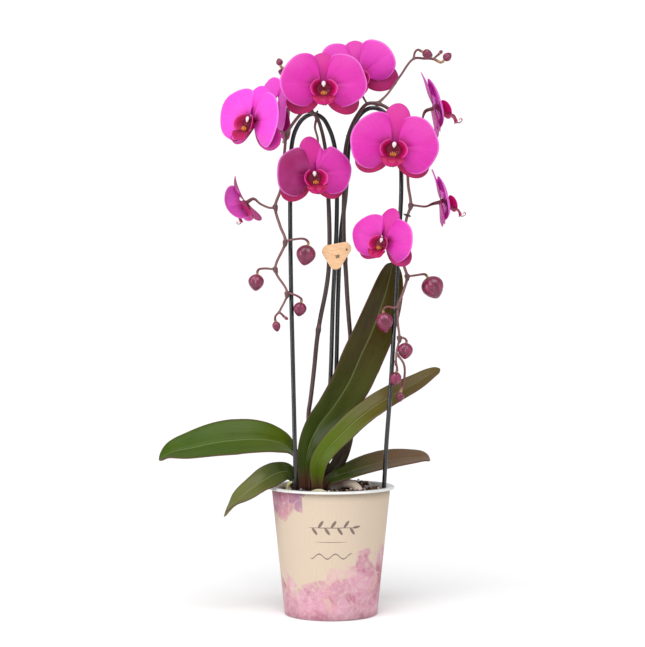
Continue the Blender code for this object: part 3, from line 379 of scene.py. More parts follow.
class Shading:
    """One material's node tree, built with short calls that each return a socket."""

    def __init__(self, name, roughness=0.5, **values):
        self.material = bpy.data.materials.new(name)
        self.material.use_nodes = True
        self.tree = self.material.node_tree
        self.shader = self.tree.nodes["Principled BSDF"]
        self.shader.inputs["Roughness"].default_value = roughness
        for socket, value in values.items():
            self.shader.inputs[socket.replace("_", " ")].default_value = value

    def add(self, kind, inputs=(), output=0, **settings):
        node = self.tree.nodes.new("ShaderNode" + kind)
        for setting, value in settings.items():
            setattr(node, setting, value)
        for socket, value in dict(inputs).items():
            if isinstance(value, bpy.types.NodeSocket):
                self.tree.links.new(value, node.inputs[socket])
            else:
                node.inputs[socket].default_value = value
        return node.outputs[output]

    def math(self, operation, first, second=0.0, third=0.0):
        return self.add("Math", {0: first, 1: second, 2: third}, operation=operation)

    plus = partialmethod(math, "ADD")
    minus = partialmethod(math, "SUBTRACT")
    times = partialmethod(math, "MULTIPLY")
    times_plus = partialmethod(math, "MULTIPLY_ADD")
    most = partialmethod(math, "MAXIMUM")
    positive = partialmethod(math, "ABSOLUTE")
    sine = partialmethod(math, "SINE")

    def vector(self, operation, first, second=(0, 0, 0), output=0):
        return self.add("VectorMath", {0: first, 1: second}, output, operation=operation)

    def span(self, value, low, high, to_low=0.0, to_high=1.0):
        """A value taken smoothly from one range to another."""
        inputs = {"Value": value, "From Min": low, "From Max": high, "To Min": to_low, "To Max": to_high}
        return self.add("MapRange", inputs, interpolation_type="SMOOTHSTEP")

    def mix(self, share, first, second):
        """Two colours mixed; each is a socket, three display values or a finished linear colour."""
        first, second = (srgb(*colour) if isinstance(colour, tuple) and len(colour) == 3 else colour
                         for colour in (first, second))
        return self.add("Mix", {0: share, 6: first, 7: second}, output=2, data_type="RGBA")

    def cover(self, body, colour, value, low, high, to_low=0.0, to_high=1.0):
        """A body with a colour laid over it as far as a value rises from low to high."""
        return self.mix(self.span(value, low, high, to_low, to_high), body, colour)

    def noise(self, where, scale, detail=3.0, roughness=0.5):
        inputs = {"Vector": where, "Scale": scale, "Detail": detail, "Roughness": roughness}
        return self.add("TexNoise", inputs)

    def grain(self, scale, detail=3.0, roughness=0.5):
        """Noise by the place on the object, at one scale or with a scale for each axis."""
        if isinstance(scale, tuple):
            return self.noise(self.stretched(scale), 1.0, detail, roughness)
        return self.noise(self.place(), scale, detail, roughness)

    def place(self):
        return self.add("TexCoord", output="Object")

    def stretched(self, scales):
        """The place on the object, scaled by its own number along each axis."""
        return self.vector("MULTIPLY", self.place(), scales)

    def tone(self):
        """The tone that a piece gives to each of its points."""
        return self.add("Attribute", output="Fac", attribute_name="pale")

    def split(self, where):
        """The x, y and z of a place, or the channels of a colour."""
        return self.add("SeparateXYZ", {0: where}).node.outputs

    def sheet_place(self):
        """Across and along a sheet, each from 0 to 1."""
        return self.split(self.add("UVMap", uv_map="Sheet"))[:2]

    def join(self, x, y, z=0.0):
        return self.add("CombineXYZ", {0: x, 1: y, 2: z})

    def patch(self, x, y, x_scale, y_scale, seed=0.0):
        """A place in the plane of two values, each with its own scale."""
        return self.join(self.times(x, x_scale), self.times(y, y_scale), seed)

    def colour(self, socket):
        self.tree.links.new(socket, self.shader.inputs["Base Color"])

    def roughness(self, socket):
        self.tree.links.new(socket, self.shader.inputs["Roughness"])

    def bump(self, height, strength, distance):
        normal = self.add("Bump", {"Height": height, "Strength": strength, "Distance": distance})
        self.tree.links.new(normal, self.shader.inputs["Normal"])


def petal_veins(look, across, along, seed, count):
    """Thin lines that fan out along a petal, 1 on a vein and 0 between."""
    where = look.patch(across, along, count, 1.3, seed)
    ridge = look.positive(look.minus(look.noise(where, 1.0, 1.0), 0.5))
    return look.span(ridge, 0.0, 0.055, 1.0, 0.0)


def tepal_material(name, claw, middle, rim, seed, vein_share):
    """The skin of a petal or sepal, with fanned veins, a bloom made paler by a positive tone, which is
    painted light on the side blooms, and darker by a negative one, which is painted shade, and a rim painted
    paler as sheen.
    """
    look = Shading(name, 0.5, Specular_IOR_Level=0.35, Sheen_Weight=0.03)
    across, along = look.sheet_place()
    tone = look.tone()
    body = look.mix(look.span(along, 0.02, 0.42), claw, middle)
    # A positive tone paints the bloom paler, which on the side blooms is painted light.
    body = look.mix(look.times(tone, look.span(along, 0.0, 0.5)), body, PALE_AND_LIT_BLOOM)
    # A negative tone darkens the petal as painted shade.
    body = look.cover(body, PAINTED_SHADE_BLOOM, tone, -1.0, 0.0, 0.9, 0.0)
    cloud = look.span(look.grain(55, 3), 0.35, 0.7)
    body = look.mix(look.times(cloud, 0.12), body, look.mix(0.5, middle, rim))
    veins = petal_veins(look, across, along, seed, 17)
    fine = petal_veins(look, across, along, seed + 4, 43)
    lines = look.most(veins, look.times(fine, look.span(along, 0.3, 0.8)))
    body = look.mix(look.times(lines, vein_share), body, claw)
    # Painted sheen: towards the outer rim the skin is painted paler in the rim colour.
    edge = look.span(along, 0.93, 1.0)
    look.colour(look.mix(look.times(edge, 0.75), body, rim))
    grain = look.grain(2600, 2)
    look.bump(look.plus(look.times(lines, -0.5), look.times(grain, 0.1)), 0.2, 0.25 * MM)
    look.roughness(look.span(grain, 0.3, 0.7, 0.46, 0.54))
    return look.material


def lip_material():
    """The lip: dark and striped in the throat, crimson on the lobes and pink at the rims."""
    look = Shading("lip_lobes", 0.4, Specular_IOR_Level=0.25)
    across, along = look.sheet_place()
    body = look.mix(look.span(along, 0.0, 0.5), (118, 0, 42), (184, 0, 84))
    body = look.cover(body, (212, 12, 122), along, 0.6, 0.88)
    body = look.cover(body, (236, 92, 176), along, 0.9, 1.0)
    stripes = petal_veins(look, across, along, 2.5, 22)
    stripes = look.times(stripes, look.span(along, 0.15, 0.75, 0.6, 0.1))
    speckle = look.span(look.grain(1500, 2), 0.55, 0.66)
    body = look.mix(stripes, body, (70, 0, 24))
    body = look.mix(look.tone(), body, look.mix(speckle, (104, 0, 36), (184, 12, 66)))
    look.colour(look.mix(look.times(speckle, 0.12), body, (236, 92, 150)))
    look.bump(look.plus(stripes, look.times(speckle, 0.4)), 0.3, 0.2 * MM)
    return look.material


def callus_material():
    look = Shading("lip_callus", 0.35, Coat_Weight=0.2)
    stripes = look.grain((5200, 900, 900), 2, 0.6)
    body = look.mix(look.span(stripes, 0.44, 0.6), (244, 168, 40), (206, 70, 30))
    look.colour(body)
    look.bump(stripes, 0.3, 0.2 * MM)
    return look.material


def column_material():
    """The column: magenta at its foot and waxy white at its cap."""
    look = Shading("column_wax", 0.3, Coat_Weight=0.25)
    cap = look.tone()
    cloud = look.grain(900, 2)
    white = look.mix(look.span(cloud, 0.45, 0.75), (252, 246, 250), (240, 190, 222))
    look.colour(look.mix(look.span(cap, 0.2, 0.75), (132, 6, 62), white))
    look.bump(cloud, 0.15, 0.2 * MM)
    return look.material


def bud_material():
    look = Shading("bud_skin", 0.36, Coat_Weight=0.35, Coat_Roughness=0.2)
    around, along = look.sheet_place()
    cloud = look.grain(190, 3, 0.6)
    streaks = look.noise(look.patch(around, along, 34, 2.2), 1, 2)
    body = look.mix(look.span(cloud, 0.35, 0.68), (104, 8, 48), (146, 28, 82))
    body = look.cover(body, (190, 84, 140), streaks, 0.45, 0.75, 0, 0.22)
    body = look.cover(body, (120, 84, 60), along, 0.0, 0.16, 0.55, 0.0)
    body = look.cover(body, (120, 24, 66), along, 0.8, 1.0, 0.0, 0.5)
    # Painted shade: darker along the grooves, where the tone is high.
    body = look.cover(body, (78, 8, 40), look.tone(), 0.15, 0.9, 0.0, 0.45)
    look.colour(body)
    look.bump(look.plus(streaks, look.grain(1900, 2)), 0.12, 0.25 * MM)
    return look.material


def stem_material():
    """Spikes: grey brown below, near black at the arch, then rosy brown, and pale ochre just above a bud."""
    look = Shading("spike_skin", 0.42, Coat_Weight=0.12)
    age = look.tone()
    streaks = look.grain((700, 700, 60), 3, 0.6)
    body = look.mix(look.span(age, 0.0, 0.28), (104, 74, 76), (48, 24, 24))
    body = look.cover(body, (136, 88, 88), age, 0.5, 0.75)
    body = look.cover(body, (118, 50, 60), age, 1.1, 1.5)
    body = look.cover(body, (196, 160, 108), age, 1.82, 2.0)
    body = look.cover(body, (74, 40, 40), streaks, 0.4, 0.72, 0.0, 0.5)
    speckle = look.span(look.grain(1300, 2), 0.6, 0.7)
    look.colour(look.mix(look.times(speckle, 0.25), body, (176, 140, 128)))
    look.bump(look.plus(streaks, look.grain(2200, 2)), 0.3, 0.2 * MM)
    return look.material


def leaf_material(name, base, tip, seed, glossy):
    """A leaf's skin, with a midrib line that is pale on the upper side, partly as a painted highlight, fine
    long veins, a purple brown margin and a purple foot.
    """
    look = Shading(name, 0.34 if glossy else 0.45, Specular_IOR_Level=0.18)
    across, along = look.sheet_place()
    off_middle = look.positive(look.minus(across, 0.5))
    cloud = look.noise(look.patch(across, along, 4, 7, seed), 1, 4)
    body = look.mix(look.span(along, 0.2, 0.75), base, tip)
    body = look.cover(body, look.mix(0.5, body, (120, 140, 50)), cloud, 0.3, 0.7, 0.0, 0.18)
    veins = look.noise(look.patch(across, along, 46, 3.0, seed), 1.0, 2)
    body = look.cover(body, look.mix(0.5, body, (24, 44, 8)), veins, 0.42, 0.62, 0.0, 0.28)
    # The midrib line is pale green on the glossy upper side, partly its own colour and partly a painted
    # highlight.
    midrib = look.span(off_middle, 0.004, 0.03, 0.5, 0.0)
    body = look.mix(midrib, body, (126, 140, 84) if glossy else (96, 70, 50))
    wavy = look.plus(off_middle, look.times(cloud, 0.02))
    margin = look.span(wavy, 0.462, 0.50, 0.0, 0.8)
    body = look.mix(margin, body, (92, 58, 52))
    foot = look.span(look.plus(along, look.times(cloud, 0.05)), 0.03, 0.13, 0.75, 0.0)
    look.colour(look.mix(foot, body, (104, 58, 58)))
    pores = look.grain(2400, 2)
    look.bump(look.plus(look.times(veins, 0.8), look.times(pores, 0.25)), 0.3, 0.3 * MM)
    low = 0.26 if glossy else 0.42
    look.roughness(look.span(cloud, 0.3, 0.7, low, low + 0.12))
    return look.material


def rod_material():
    look = Shading("hoop_gloss", 0.22, Coat_Weight=0.5, Coat_Roughness=0.12)
    scuffs = look.grain((900, 900, 40), 4, 0.65)
    look.colour(look.mix(look.span(scuffs, 0.45, 0.8), (12, 12, 14), (36, 38, 42)))
    look.roughness(look.span(scuffs, 0.35, 0.75, 0.2, 0.38))
    look.bump(scuffs, 0.12, 0.15 * MM)
    return look.material


def pot_material():
    look = Shading("pot_white", 0.35, Coat_Weight=0.15)
    cloud = look.grain(60, 3)
    fine = look.grain(1600, 2)
    look.colour(look.mix(look.span(cloud, 0.3, 0.7), (244, 244, 240), (228, 230, 228)))
    look.roughness(look.span(fine, 0.3, 0.7, 0.3, 0.42))
    look.bump(fine, 0.1, 0.1 * MM)
    return look.material


def bark_material():
    look = Shading("bark_chips", 0.85)
    tone = look.tone()
    fibres = look.grain((260, 900, 700), 5, 0.65)
    body = look.mix(look.span(fibres, 0.35, 0.7), (44, 26, 20), (98, 60, 42))
    body = look.mix(look.times(tone, 0.6), body, (146, 96, 66))
    look.colour(body)
    look.bump(fibres, 0.7, 1.2 * MM)
    return look.material


def perlite_material():
    look = Shading("perlite", 0.8, Subsurface_Weight=0.1)
    cloud = look.grain(900, 4, 0.6)
    look.colour(look.mix(look.span(cloud, 0.35, 0.7), (250, 248, 244), (206, 196, 188)))
    look.bump(cloud, 0.6, 0.6 * MM)
    return look.material


def root_material():
    look = Shading("root_skin", 0.6, Subsurface_Weight=0.05)
    cloud = look.grain(120, 4, 0.6)
    body = look.mix(look.span(cloud, 0.35, 0.66), (240, 226, 216), (206, 186, 166))
    body = look.mix(look.times(look.tone(), 0.75), body, (176, 190, 96))
    spots = look.span(look.grain(700, 3), 0.6, 0.7)
    look.colour(look.mix(look.times(spots, 0.45), body, (176, 120, 110)))
    look.bump(cloud, 0.5, 0.6 * MM)
    return look.material


def painted_cells(look, where, ceiling, size, seed):
    """Blossom-like patches below a wavy ceiling: how much paint, how close to a pale line, and the tint."""
    inputs = {"Vector": look.vector("ADD", where, (seed, seed, 0)), "Scale": 1 / size, "Randomness": 0.85}
    node = look.add("TexVoronoi", inputs, output="Position", voronoi_dimensions="2D").node
    middle = look.vector("SUBTRACT", node.outputs["Position"], (seed, seed, 0))
    tint = look.split(node.outputs["Color"])[0]
    painted = look.span(look.minus(ceiling, look.split(middle)[1]), -1.0, 1.0)
    painted = look.times(painted, look.span(tint, 0.06, 0.16))
    border = look.add("TexVoronoi", inputs, voronoi_dimensions="2D", feature="DISTANCE_TO_EDGE")
    local = look.vector("SUBTRACT", where, middle)
    x, y, _ = look.split(local)
    out = look.math("DIVIDE", look.vector("LENGTH", local, output="Value"), size)
    turn = look.times_plus(tint, 9.0, look.math("ARCTAN2", y, x))
    petals = look.positive(look.sine(look.times(turn, 2.5)))
    veins = look.positive(look.sine(look.times(turn, 17.5)))
    gaps = look.times(look.span(petals, 0.0, 0.30, 1.0, 0.0), look.span(out, 0.05, 0.3))
    veins = look.times(look.span(veins, 0.0, 0.45, 0.45, 0.0), look.span(out, 0.2, 0.5, 1.0, 0.0))
    eye = look.span(out, 0.05, 0.16, 0.9, 0.0)
    lines = look.most(look.most(gaps, veins), look.span(border, 0.0, 0.05, 0.6, 0.0))
    rim = look.times_plus(look.span(petals, 0.0, 0.7), 0.16, 0.44)
    painted = look.times(painted, look.span(look.minus(rim, out), 0.0, 0.035))
    return painted, look.most(lines, eye), tint


def oval(look, where, centre, half_length, half_width, degrees):
    """A filled oval, 1 inside and 0 outside."""
    moved = look.vector("SUBTRACT", where, (centre[0], centre[1], 0))
    inputs = {"Vector": moved, "Angle": -math.radians(degrees)}
    turned = look.add("VectorRotate", inputs, rotation_type="Z_AXIS")
    away = look.vector("LENGTH", look.vector("DIVIDE", turned, (half_length, half_width, 1)), output="Value")
    return look.span(away, 0.9, 1.06, 1.0, 0.0)


def sprig(look, where):
    """A plain leafy twig, a thin line and a wavy rule, in place of any lettering."""
    twig_height, line_height, rule_height = 92, 78, 64
    shape = oval(look, where, (0, twig_height), 21, 0.45, 0)
    for step in range(7):
        side = 1 if step % 2 else -1
        centre = (-14.8 + 5.6 * step, twig_height + 3.4 * side)
        shape = look.most(shape, oval(look, where, centre, 4.2, 1.35, 58 * side))
    shape = look.most(shape, oval(look, where, (22.5, twig_height + 0.3), 3.8, 1.2, 10))
    shape = look.most(shape, oval(look, where, (0, line_height), 15, 0.3, 0))
    across, up, _ = look.split(where)
    swing = look.times(look.sine(look.times(across, 0.42)), 2.4)
    away = look.positive(look.minus(look.minus(up, rule_height), swing))
    rule = look.times(look.span(away, 0.4, 0.8, 1.0, 0.0),
                      look.span(look.positive(across), 17.0, 21.0, 1.0, 0.0))
    return look.most(shape, rule)


def kraft_material():
    """Kraft paper with long fibres, and a watercolour print of generic petals."""
    look = Shading("kraft_print", 0.62, Specular_IOR_Level=0.3)
    place = look.place()
    x, y, z = look.split(place)
    angle = look.math("ARCTAN2", x, look.times(y, -1.0))
    height = look.times(z, 1 / MM)
    around = look.times(angle, PRINT_RADIUS)
    plain = look.join(around, height)
    wobble = look.times(look.minus(look.noise(place, 70, 3, 0.6), 0.5), 11.0)
    where = look.join(look.plus(around, wobble), look.times_plus(wobble, -0.8, height))
    ceiling = look.times_plus(look.sine(angle), PRINT_SWING, PRINT_TOP)
    wash = look.span(look.noise(place, 55, 5, 0.65), 0.3, 0.68)
    paper_fibres = look.noise(look.patch(around, height, 0.6, 3.2), 1, 4)
    flecks = look.noise(look.patch(around, height, 2.4, 9.0), 1, 2)
    body = look.mix(look.span(paper_fibres, 0.35, 0.68), (226, 208, 188), (212, 190, 166))
    body = look.cover(body, (182, 154, 130), flecks, 0.62, 0.74, 0.0, 0.45)
    body = look.mix(look.times(sprig(look, plain), 0.85), body, (104, 84, 82))
    corner = look.span(look.sine(look.times_plus(angle, -1.38, -0.36)), 0.0, 0.75)
    drop = look.times_plus(corner, 50.0, -143.0)
    wash_low = look.span(look.minus(look.minus(ceiling, 12.0), height), -3.0, 4.0)
    low_share = look.times(wash_low, look.span(wash, 0.0, 1.0, 0.35, 0.75))
    body = look.mix(low_share, body, PRINT_TINTS["low"][0])
    wash_high = look.span(look.minus(look.plus(drop, height), 8.0), -3.0, 4.0)
    high_share = look.times(wash_high, look.span(wash, 0.0, 1.0, 0.4, 0.75))
    body = look.mix(high_share, body, PRINT_TINTS["high"][0])
    upside = look.join(look.plus(around, wobble), look.times(height, -1.0))
    areas = {"low": (where, ceiling), "high": (upside, drop)}
    for area, size, seed, strength in PRINT_LAYERS:
        first, second, pale = PRINT_TINTS[area]
        painted, border, tint = painted_cells(look, *areas[area], size, seed)
        hue = look.mix(look.span(tint, 0.2, 0.8), first, second)
        hue = look.mix(look.times(wash, 0.6), hue, pale)
        share = look.times(painted, look.span(wash, 0.0, 1.0, strength, strength * 0.7))
        body = look.mix(share, body, hue)
        body = look.mix(look.times(look.times(painted, border), 0.42), body, (232, 208, 196))
    look.colour(body)
    look.bump(look.plus(paper_fibres, look.times(flecks, 0.6)), 0.25, 0.2 * MM)
    return look.material


def tag_material():
    """Birch veneer with long grain and a small stamped leaf."""
    look = Shading("tag_birch", 0.6)
    grain = look.grain((120, 500, 1500), 5, 0.6)
    specks = look.grain((700, 900, 5200), 2)
    body = look.mix(look.span(grain, 0.35, 0.68), (246, 204, 160), (228, 176, 128))
    body = look.cover(body, (190, 134, 90), specks, 0.6, 0.75, 0.0, 0.4)
    x, _, z = look.split(look.stretched((1 / MM, 1 / MM, 1 / MM)))
    where = look.join(x, z)
    centre = (TAG_MARK[0], TAG_MARK[1] + BARK_TOP / MM)
    stamp = oval(look, where, centre, 3.4, 0.4, 20)
    for lean in (-25, 65):
        stamp = look.most(stamp, oval(look, where, centre, 2.6, 0.95, lean))
    look.colour(look.mix(look.times(stamp, 0.8), body, (70, 52, 46)))
    look.bump(grain, 0.25, 0.15 * MM)
    return look.material


# ---------------------------------------------------------------------------------------------------------
# Mesh tools
# ---------------------------------------------------------------------------------------------------------

def smooth_route(points, spacing):
    """Evenly spaced points on a centripetal Catmull-Rom curve through the given points."""
    points = [Vector(point) for point in points]
    ends = [points[0] * 2 - points[1]] + points + [points[-1] * 2 - points[-2]]
    dense = []
    for corners in zip(ends, ends[1:], ends[2:], ends[3:]):
        knots = [0.0]
        for start, end in zip(corners, corners[1:]):
            knots.append(knots[-1] + math.sqrt(max((end - start).length, 1e-9)))
        steps = max(2, math.ceil((corners[2] - corners[1]).length / spacing * 2))
        for step in range(steps):
            at = knots[1] + (knots[2] - knots[1]) * step / steps
            level = list(corners)
            for reach in (1, 2):
                level = [level[i].lerp(level[i + 1], (at - knots[i]) / (knots[i + reach] - knots[i]))
                         for i in range(len(level) - 1)]
            dense.append(level[0].lerp(level[1], (at - knots[1]) / (knots[2] - knots[1])))
    dense.append(points[-1])
    lengths = [0.0]
    for start, end in zip(dense, dense[1:]):
        lengths.append(lengths[-1] + (end - start).length)
    count = max(2, round(lengths[-1] / spacing))
    route, segment = [], 0
    for index in range(count + 1):
        target = lengths[-1] * index / count
        while segment < len(dense) - 2 and lengths[segment + 1] < target:
            segment += 1
        share = (target - lengths[segment]) / max(lengths[segment + 1] - lengths[segment], 1e-9)
        route.append(dense[segment].lerp(dense[segment + 1], min(max(share, 0.0), 1.0)))
    return route


def tangent_at(route, index):
    return (route[min(index + 1, len(route) - 1)] - route[max(index - 1, 0)]).normalized()


def plant_route(points, spacing):
    """A smooth route through places on the plant, with its points this many millimetres apart."""
    return smooth_route([plant(*point) for point in points], spacing * MM)


def grid_of(rows, columns, spot):
    """A grid of points; spot(down, over) gives one, and both shares run from 0 to 1."""
    return [[spot(row / rows, column / columns) for column in range(columns + 1)]
            for row in range(rows + 1)]


class Pile:
    """The points and faces of one piece, gathered from several closed shapes before it becomes an object."""

    def __init__(self):
        self.points = []
        self.spots = []
        self.tones = []
        self.faces = []
        self.looks = []

    def add_point(self, point, spot=(0.5, 0.5), tone=0.0):
        self.points.append(point)
        self.spots.append(spot)
        self.tones.append(tone)

    def add_face(self, corners, look=0):
        self.faces.append(tuple(corners))
        self.looks.append(look)

    def add_band(self, low, high, count, look=0):
        """The faces between two closed rings, given by the index of each ring's first point."""
        for step in range(count):
            after = (step + 1) % count
            self.add_face((low + step, low + after, high + after, high + step), look)

    def sheet(self, grid, thickness, front=0, back=0, tone=0.0):
        """A closed sheet about a grid of points, thinner at its edges."""
        rows, columns = len(grid), len(grid[0])
        start = len(self.points)
        behind = []
        for row in range(rows):
            for column in range(columns):
                along = grid[min(row + 1, rows - 1)][column] - grid[max(row - 1, 0)][column]
                across = grid[row][min(column + 1, columns - 1)] - grid[row][max(column - 1, 0)]
                rim = row in (0, rows - 1) or column in (0, columns - 1)
                offset = along.cross(across).normalized() * thickness / 2 * (SHEET_RIM if rim else 1)
                spot = (column / (columns - 1), row / (rows - 1))
                self.add_point(grid[row][column] + offset, spot, tone)
                behind.append((grid[row][column] - offset, spot, tone))
        for facts in behind:
            self.add_point(*facts)
        count = rows * columns
        for row in range(rows - 1):
            for column in range(columns - 1):
                corner = start + row * columns + column
                quad = (corner, corner + 1, corner + columns + 1, corner + columns)
                self.add_face(quad[::-1], front)
                self.add_face((index + count for index in quad), back)
        border = list(range(columns))
        border += [row * columns + columns - 1 for row in range(1, rows)]
        border += [(rows - 1) * columns + column for column in range(columns - 2, -1, -1)]
        border += [row * columns for row in range(rows - 2, 0, -1)]
        for first, second in zip(border, border[1:] + border[:1]):
            first, second = first + start, second + start
            self.add_face((first, second, second + count, first + count), front)

    def tube(self, route, radii, sides=12, tones=0.0):
        """A tube along a route, with its ends closed by domes; radii and tones are numbers or lists."""
        route = list(route)
        radii = list(radii) if isinstance(radii, (list, tuple)) else [radii] * len(route)
        tones = list(tones) if isinstance(tones, (list, tuple)) else [tones] * len(route)
        for end, inside in ((0, 1), (-1, -2)):
            out = (route[end] - route[inside]).normalized()
            radius = radii[end]
            for ahead, share in ((0.6, 0.6), (0.35, 0.95)):
                place = 0 if end == 0 else len(route)
                route.insert(place, route[end] + out * radius * ahead)
                radii.insert(place, radius * math.sqrt(1 - share * share))
                tones.insert(place, tones[end])
        side = tangent_at(route, 0).orthogonal().normalized()
        start = len(self.points)
        for index, (centre, radius, tone) in enumerate(zip(route, radii, tones)):
            tangent = tangent_at(route, index)
            side = square_to(side, tangent)
            other = tangent.cross(side)
            for step in range(sides):
                angle = 2 * math.pi * step / sides
                spot = centre + ring_way(side, other, angle) * radius
                self.add_point(spot, (step / sides, index / (len(route) - 1)), tone)
        last = start + (len(route) - 1) * sides
        for low in range(start, last, sides):
            self.add_band(low, low + sides, sides)
        self.add_face(range(start + sides - 1, start - 1, -1))
        self.add_face(range(last, last + sides))

    def blob(self, shape, rings, segments, look=0, tone=lambda around, along: 0.0):
        """A closed skin; shape(around, along) gives a point, and tone(around, along) its tone."""
        start = len(self.points)
        for pole in (0.0, 1.0):
            self.add_point(shape(0.0, pole), (0.5, pole), tone(0.0, pole))
        for ring in range(1, rings):
            for segment in range(segments):
                place = (segment / segments, ring / rings)
                self.add_point(shape(*place), place, tone(*place))
        first, last = start + 2, start + 2 + (rings - 2) * segments
        for segment in range(segments):
            after = (segment + 1) % segments
            self.add_face((start, first + after, first + segment), look)
            self.add_face((start + 1, last + segment, last + after), look)
        for low in range(first, last, segments):
            self.add_band(low, low + segments, segments, look)

    def lathe(self, profile, segments):
        """A closed solid of revolution about the vertical axis; the profile goes once round its section."""
        start = len(self.points)
        for radius, height in profile:
            for segment in range(segments):
                angle = 2 * math.pi * segment / segments
                self.add_point(turned(radius, angle, height), (segment / segments, height))
        for ring in range(len(profile)):
            after = (ring + 1) % len(profile)
            self.add_band(start + ring * segments, start + after * segments, segments)

    def made(self, name, materials, slot, nodes, level=0):
        """The piece as an object that rides on the plant and stands for its CAD nodes."""
        mesh = bpy.data.meshes.new(name)
        mesh.from_pydata(self.points, [], self.faces)
        layer = mesh.uv_layers.new(name="Sheet")
        for loop in mesh.loops:
            layer.data[loop.index].uv = self.spots[loop.vertex_index]
        tones = mesh.attributes.new("pale", "FLOAT", "POINT")
        tones.data.foreach_set("value", self.tones)
        for material in materials:
            mesh.materials.append(material)
        mesh.polygons.foreach_set("material_index", self.looks)
        work = bmesh.new()
        work.from_mesh(mesh)
        bmesh.ops.recalc_face_normals(work, faces=work.faces)
        work.to_mesh(mesh)
        work.free()
        mesh.shade_smooth()
        piece = new_object(name, mesh)
        if level:
            smoothing = piece.modifiers.new("smooth", "SUBSURF")
            smoothing.levels = smoothing.render_levels = level
        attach(piece, "root")
        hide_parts(*nodes)
        return piece


# ---------------------------------------------------------------------------------------------------------
# Pot, sleeve and potting mix
# ---------------------------------------------------------------------------------------------------------

def sleeve_radius(height):
    """The paper cone's outer radius at a height."""
    taper = (SLEEVE_TOP_RADIUS - SLEEVE_FOOT_RADIUS) / SLEEVE_HIGH
    return SLEEVE_FOOT_RADIUS + taper * height


def make_pot():
    """The grow pot: a thin tapered shell whose rim rolls out and down over the sleeve."""
    gap = SLEEVE_WALL + SLEEVE_GAP
    foot, top = (sleeve_radius(height) - gap for height in (1.5 * MM, POT_TOP - 1.6 * MM))
    skirt = FLANGE_RADIUS - POT_WALL
    profile = [(FLOOR_RADIUS, FLOOR_LOW), (foot - 1.5 * MM, 0), (foot - 0.4 * MM, 0.4 * MM),
               (foot, 1.5 * MM), (top, POT_TOP - 1.6 * MM),
               (skirt - 0.6 * MM, POT_TOP - 1.6 * MM), (skirt, POT_TOP - 1.9 * MM),
               (skirt, SLEEVE_HIGH + 0.3 * MM), (skirt + 0.6 * MM, SLEEVE_HIGH),
               (FLANGE_RADIUS, SLEEVE_HIGH + 0.3 * MM), (FLANGE_RADIUS, POT_TOP - 1.6 * MM)]
    for step in range(1, 5):
        angle = math.pi / 2 * step / 4
        radius = FLANGE_RADIUS - RIM_ROUND * (1 - math.cos(angle))
        profile.append((radius, POT_TOP - RIM_ROUND * (1 - math.sin(angle))))
    inner_top = top - POT_WALL
    profile += [(inner_top + 0.8 * MM, POT_TOP), (inner_top, POT_TOP - 0.8 * MM),
                (foot - POT_WALL, 2 * MM), (FLOOR_RADIUS, FLOOR_HIGH)]
    pile = Pile()
    pile.lathe(profile, POT_SEGMENTS)
    pile.lathe([(AXIS_RADIUS, FLOOR_LOW), (FLOOR_RADIUS, FLOOR_LOW), (FLOOR_RADIUS, FLOOR_HIGH),
                (AXIS_RADIUS, FLOOR_HIGH)], POT_SEGMENTS // 3)
    pile.made("pot_shell", [pot_material()], "pot_plastic", ["grow_pot"])


def make_sleeve():
    """The paper sleeve, a cone with a glued lap down the back."""
    low, high = SLEEVE_LOW, SLEEVE_HIGH - 0.1 * MM
    pile = Pile()
    heights = [low + (high - low) * step / 12 for step in range(13)]
    profile = [(sleeve_radius(height), height) for height in heights]
    profile += [(radius - SLEEVE_WALL, height) for radius, height in reversed(profile)]
    pile.lathe(profile, SLEEVE_SEGMENTS)

    def lap(down, over):
        height = low + 0.6 * MM + (high - low - 1.2 * MM) * down
        return turned(sleeve_radius(height) + 0.25 * MM, math.radians(84 + 14 * over), height)

    pile.sheet(grid_of(8, 6, lap), 0.5 * MM)
    pile.made("paper_sleeve", [kraft_material()], "kraft_sleeve", ["pot_sleeve"])


def chip(pile, centre, size, tone, lumps=9):
    """One irregular angular chip: the hull of a few random points in a stretched ball."""
    work = bmesh.new()
    turn = Matrix.Rotation(random.uniform(0, 2 * math.pi), 3, "Z")
    turn = turn @ Matrix.Rotation(random.gauss(0, 0.45), 3, "X")
    turn = turn @ Matrix.Rotation(random.gauss(0, 0.35), 3, "Y")
    for _ in range(lumps):
        spot = Vector([random.gauss(0, 1) for _ in range(3)]).normalized()
        spot = Vector((spot.x * size[0], spot.y * size[1], spot.z * size[2])) * random.uniform(0.75, 1.0)
        work.verts.new(centre + turn @ spot)
    made = bmesh.ops.convex_hull(work, input=work.verts)
    loose = [item for item in made["geom_interior"] if isinstance(item, bmesh.types.BMVert)]
    bmesh.ops.delete(work, geom=loose, context="VERTS")
    work.verts.index_update()
    start = len(pile.points)
    for vertex in work.verts:
        pile.add_point(vertex.co.copy(), tone=tone)
    for face in work.faces:
        pile.add_face(start + vertex.index for vertex in face.verts)
    work.free()


def on_bark(away, angle, lift):
    """A point this far above the bark, which is heaped most at the back of the pot."""
    spot = turned(away, angle, BARK_TOP + lift)
    spot.z += HEAP_HEIGHT * smooth_step(spot.y / BARK_RADIUS * 1.3)
    return spot


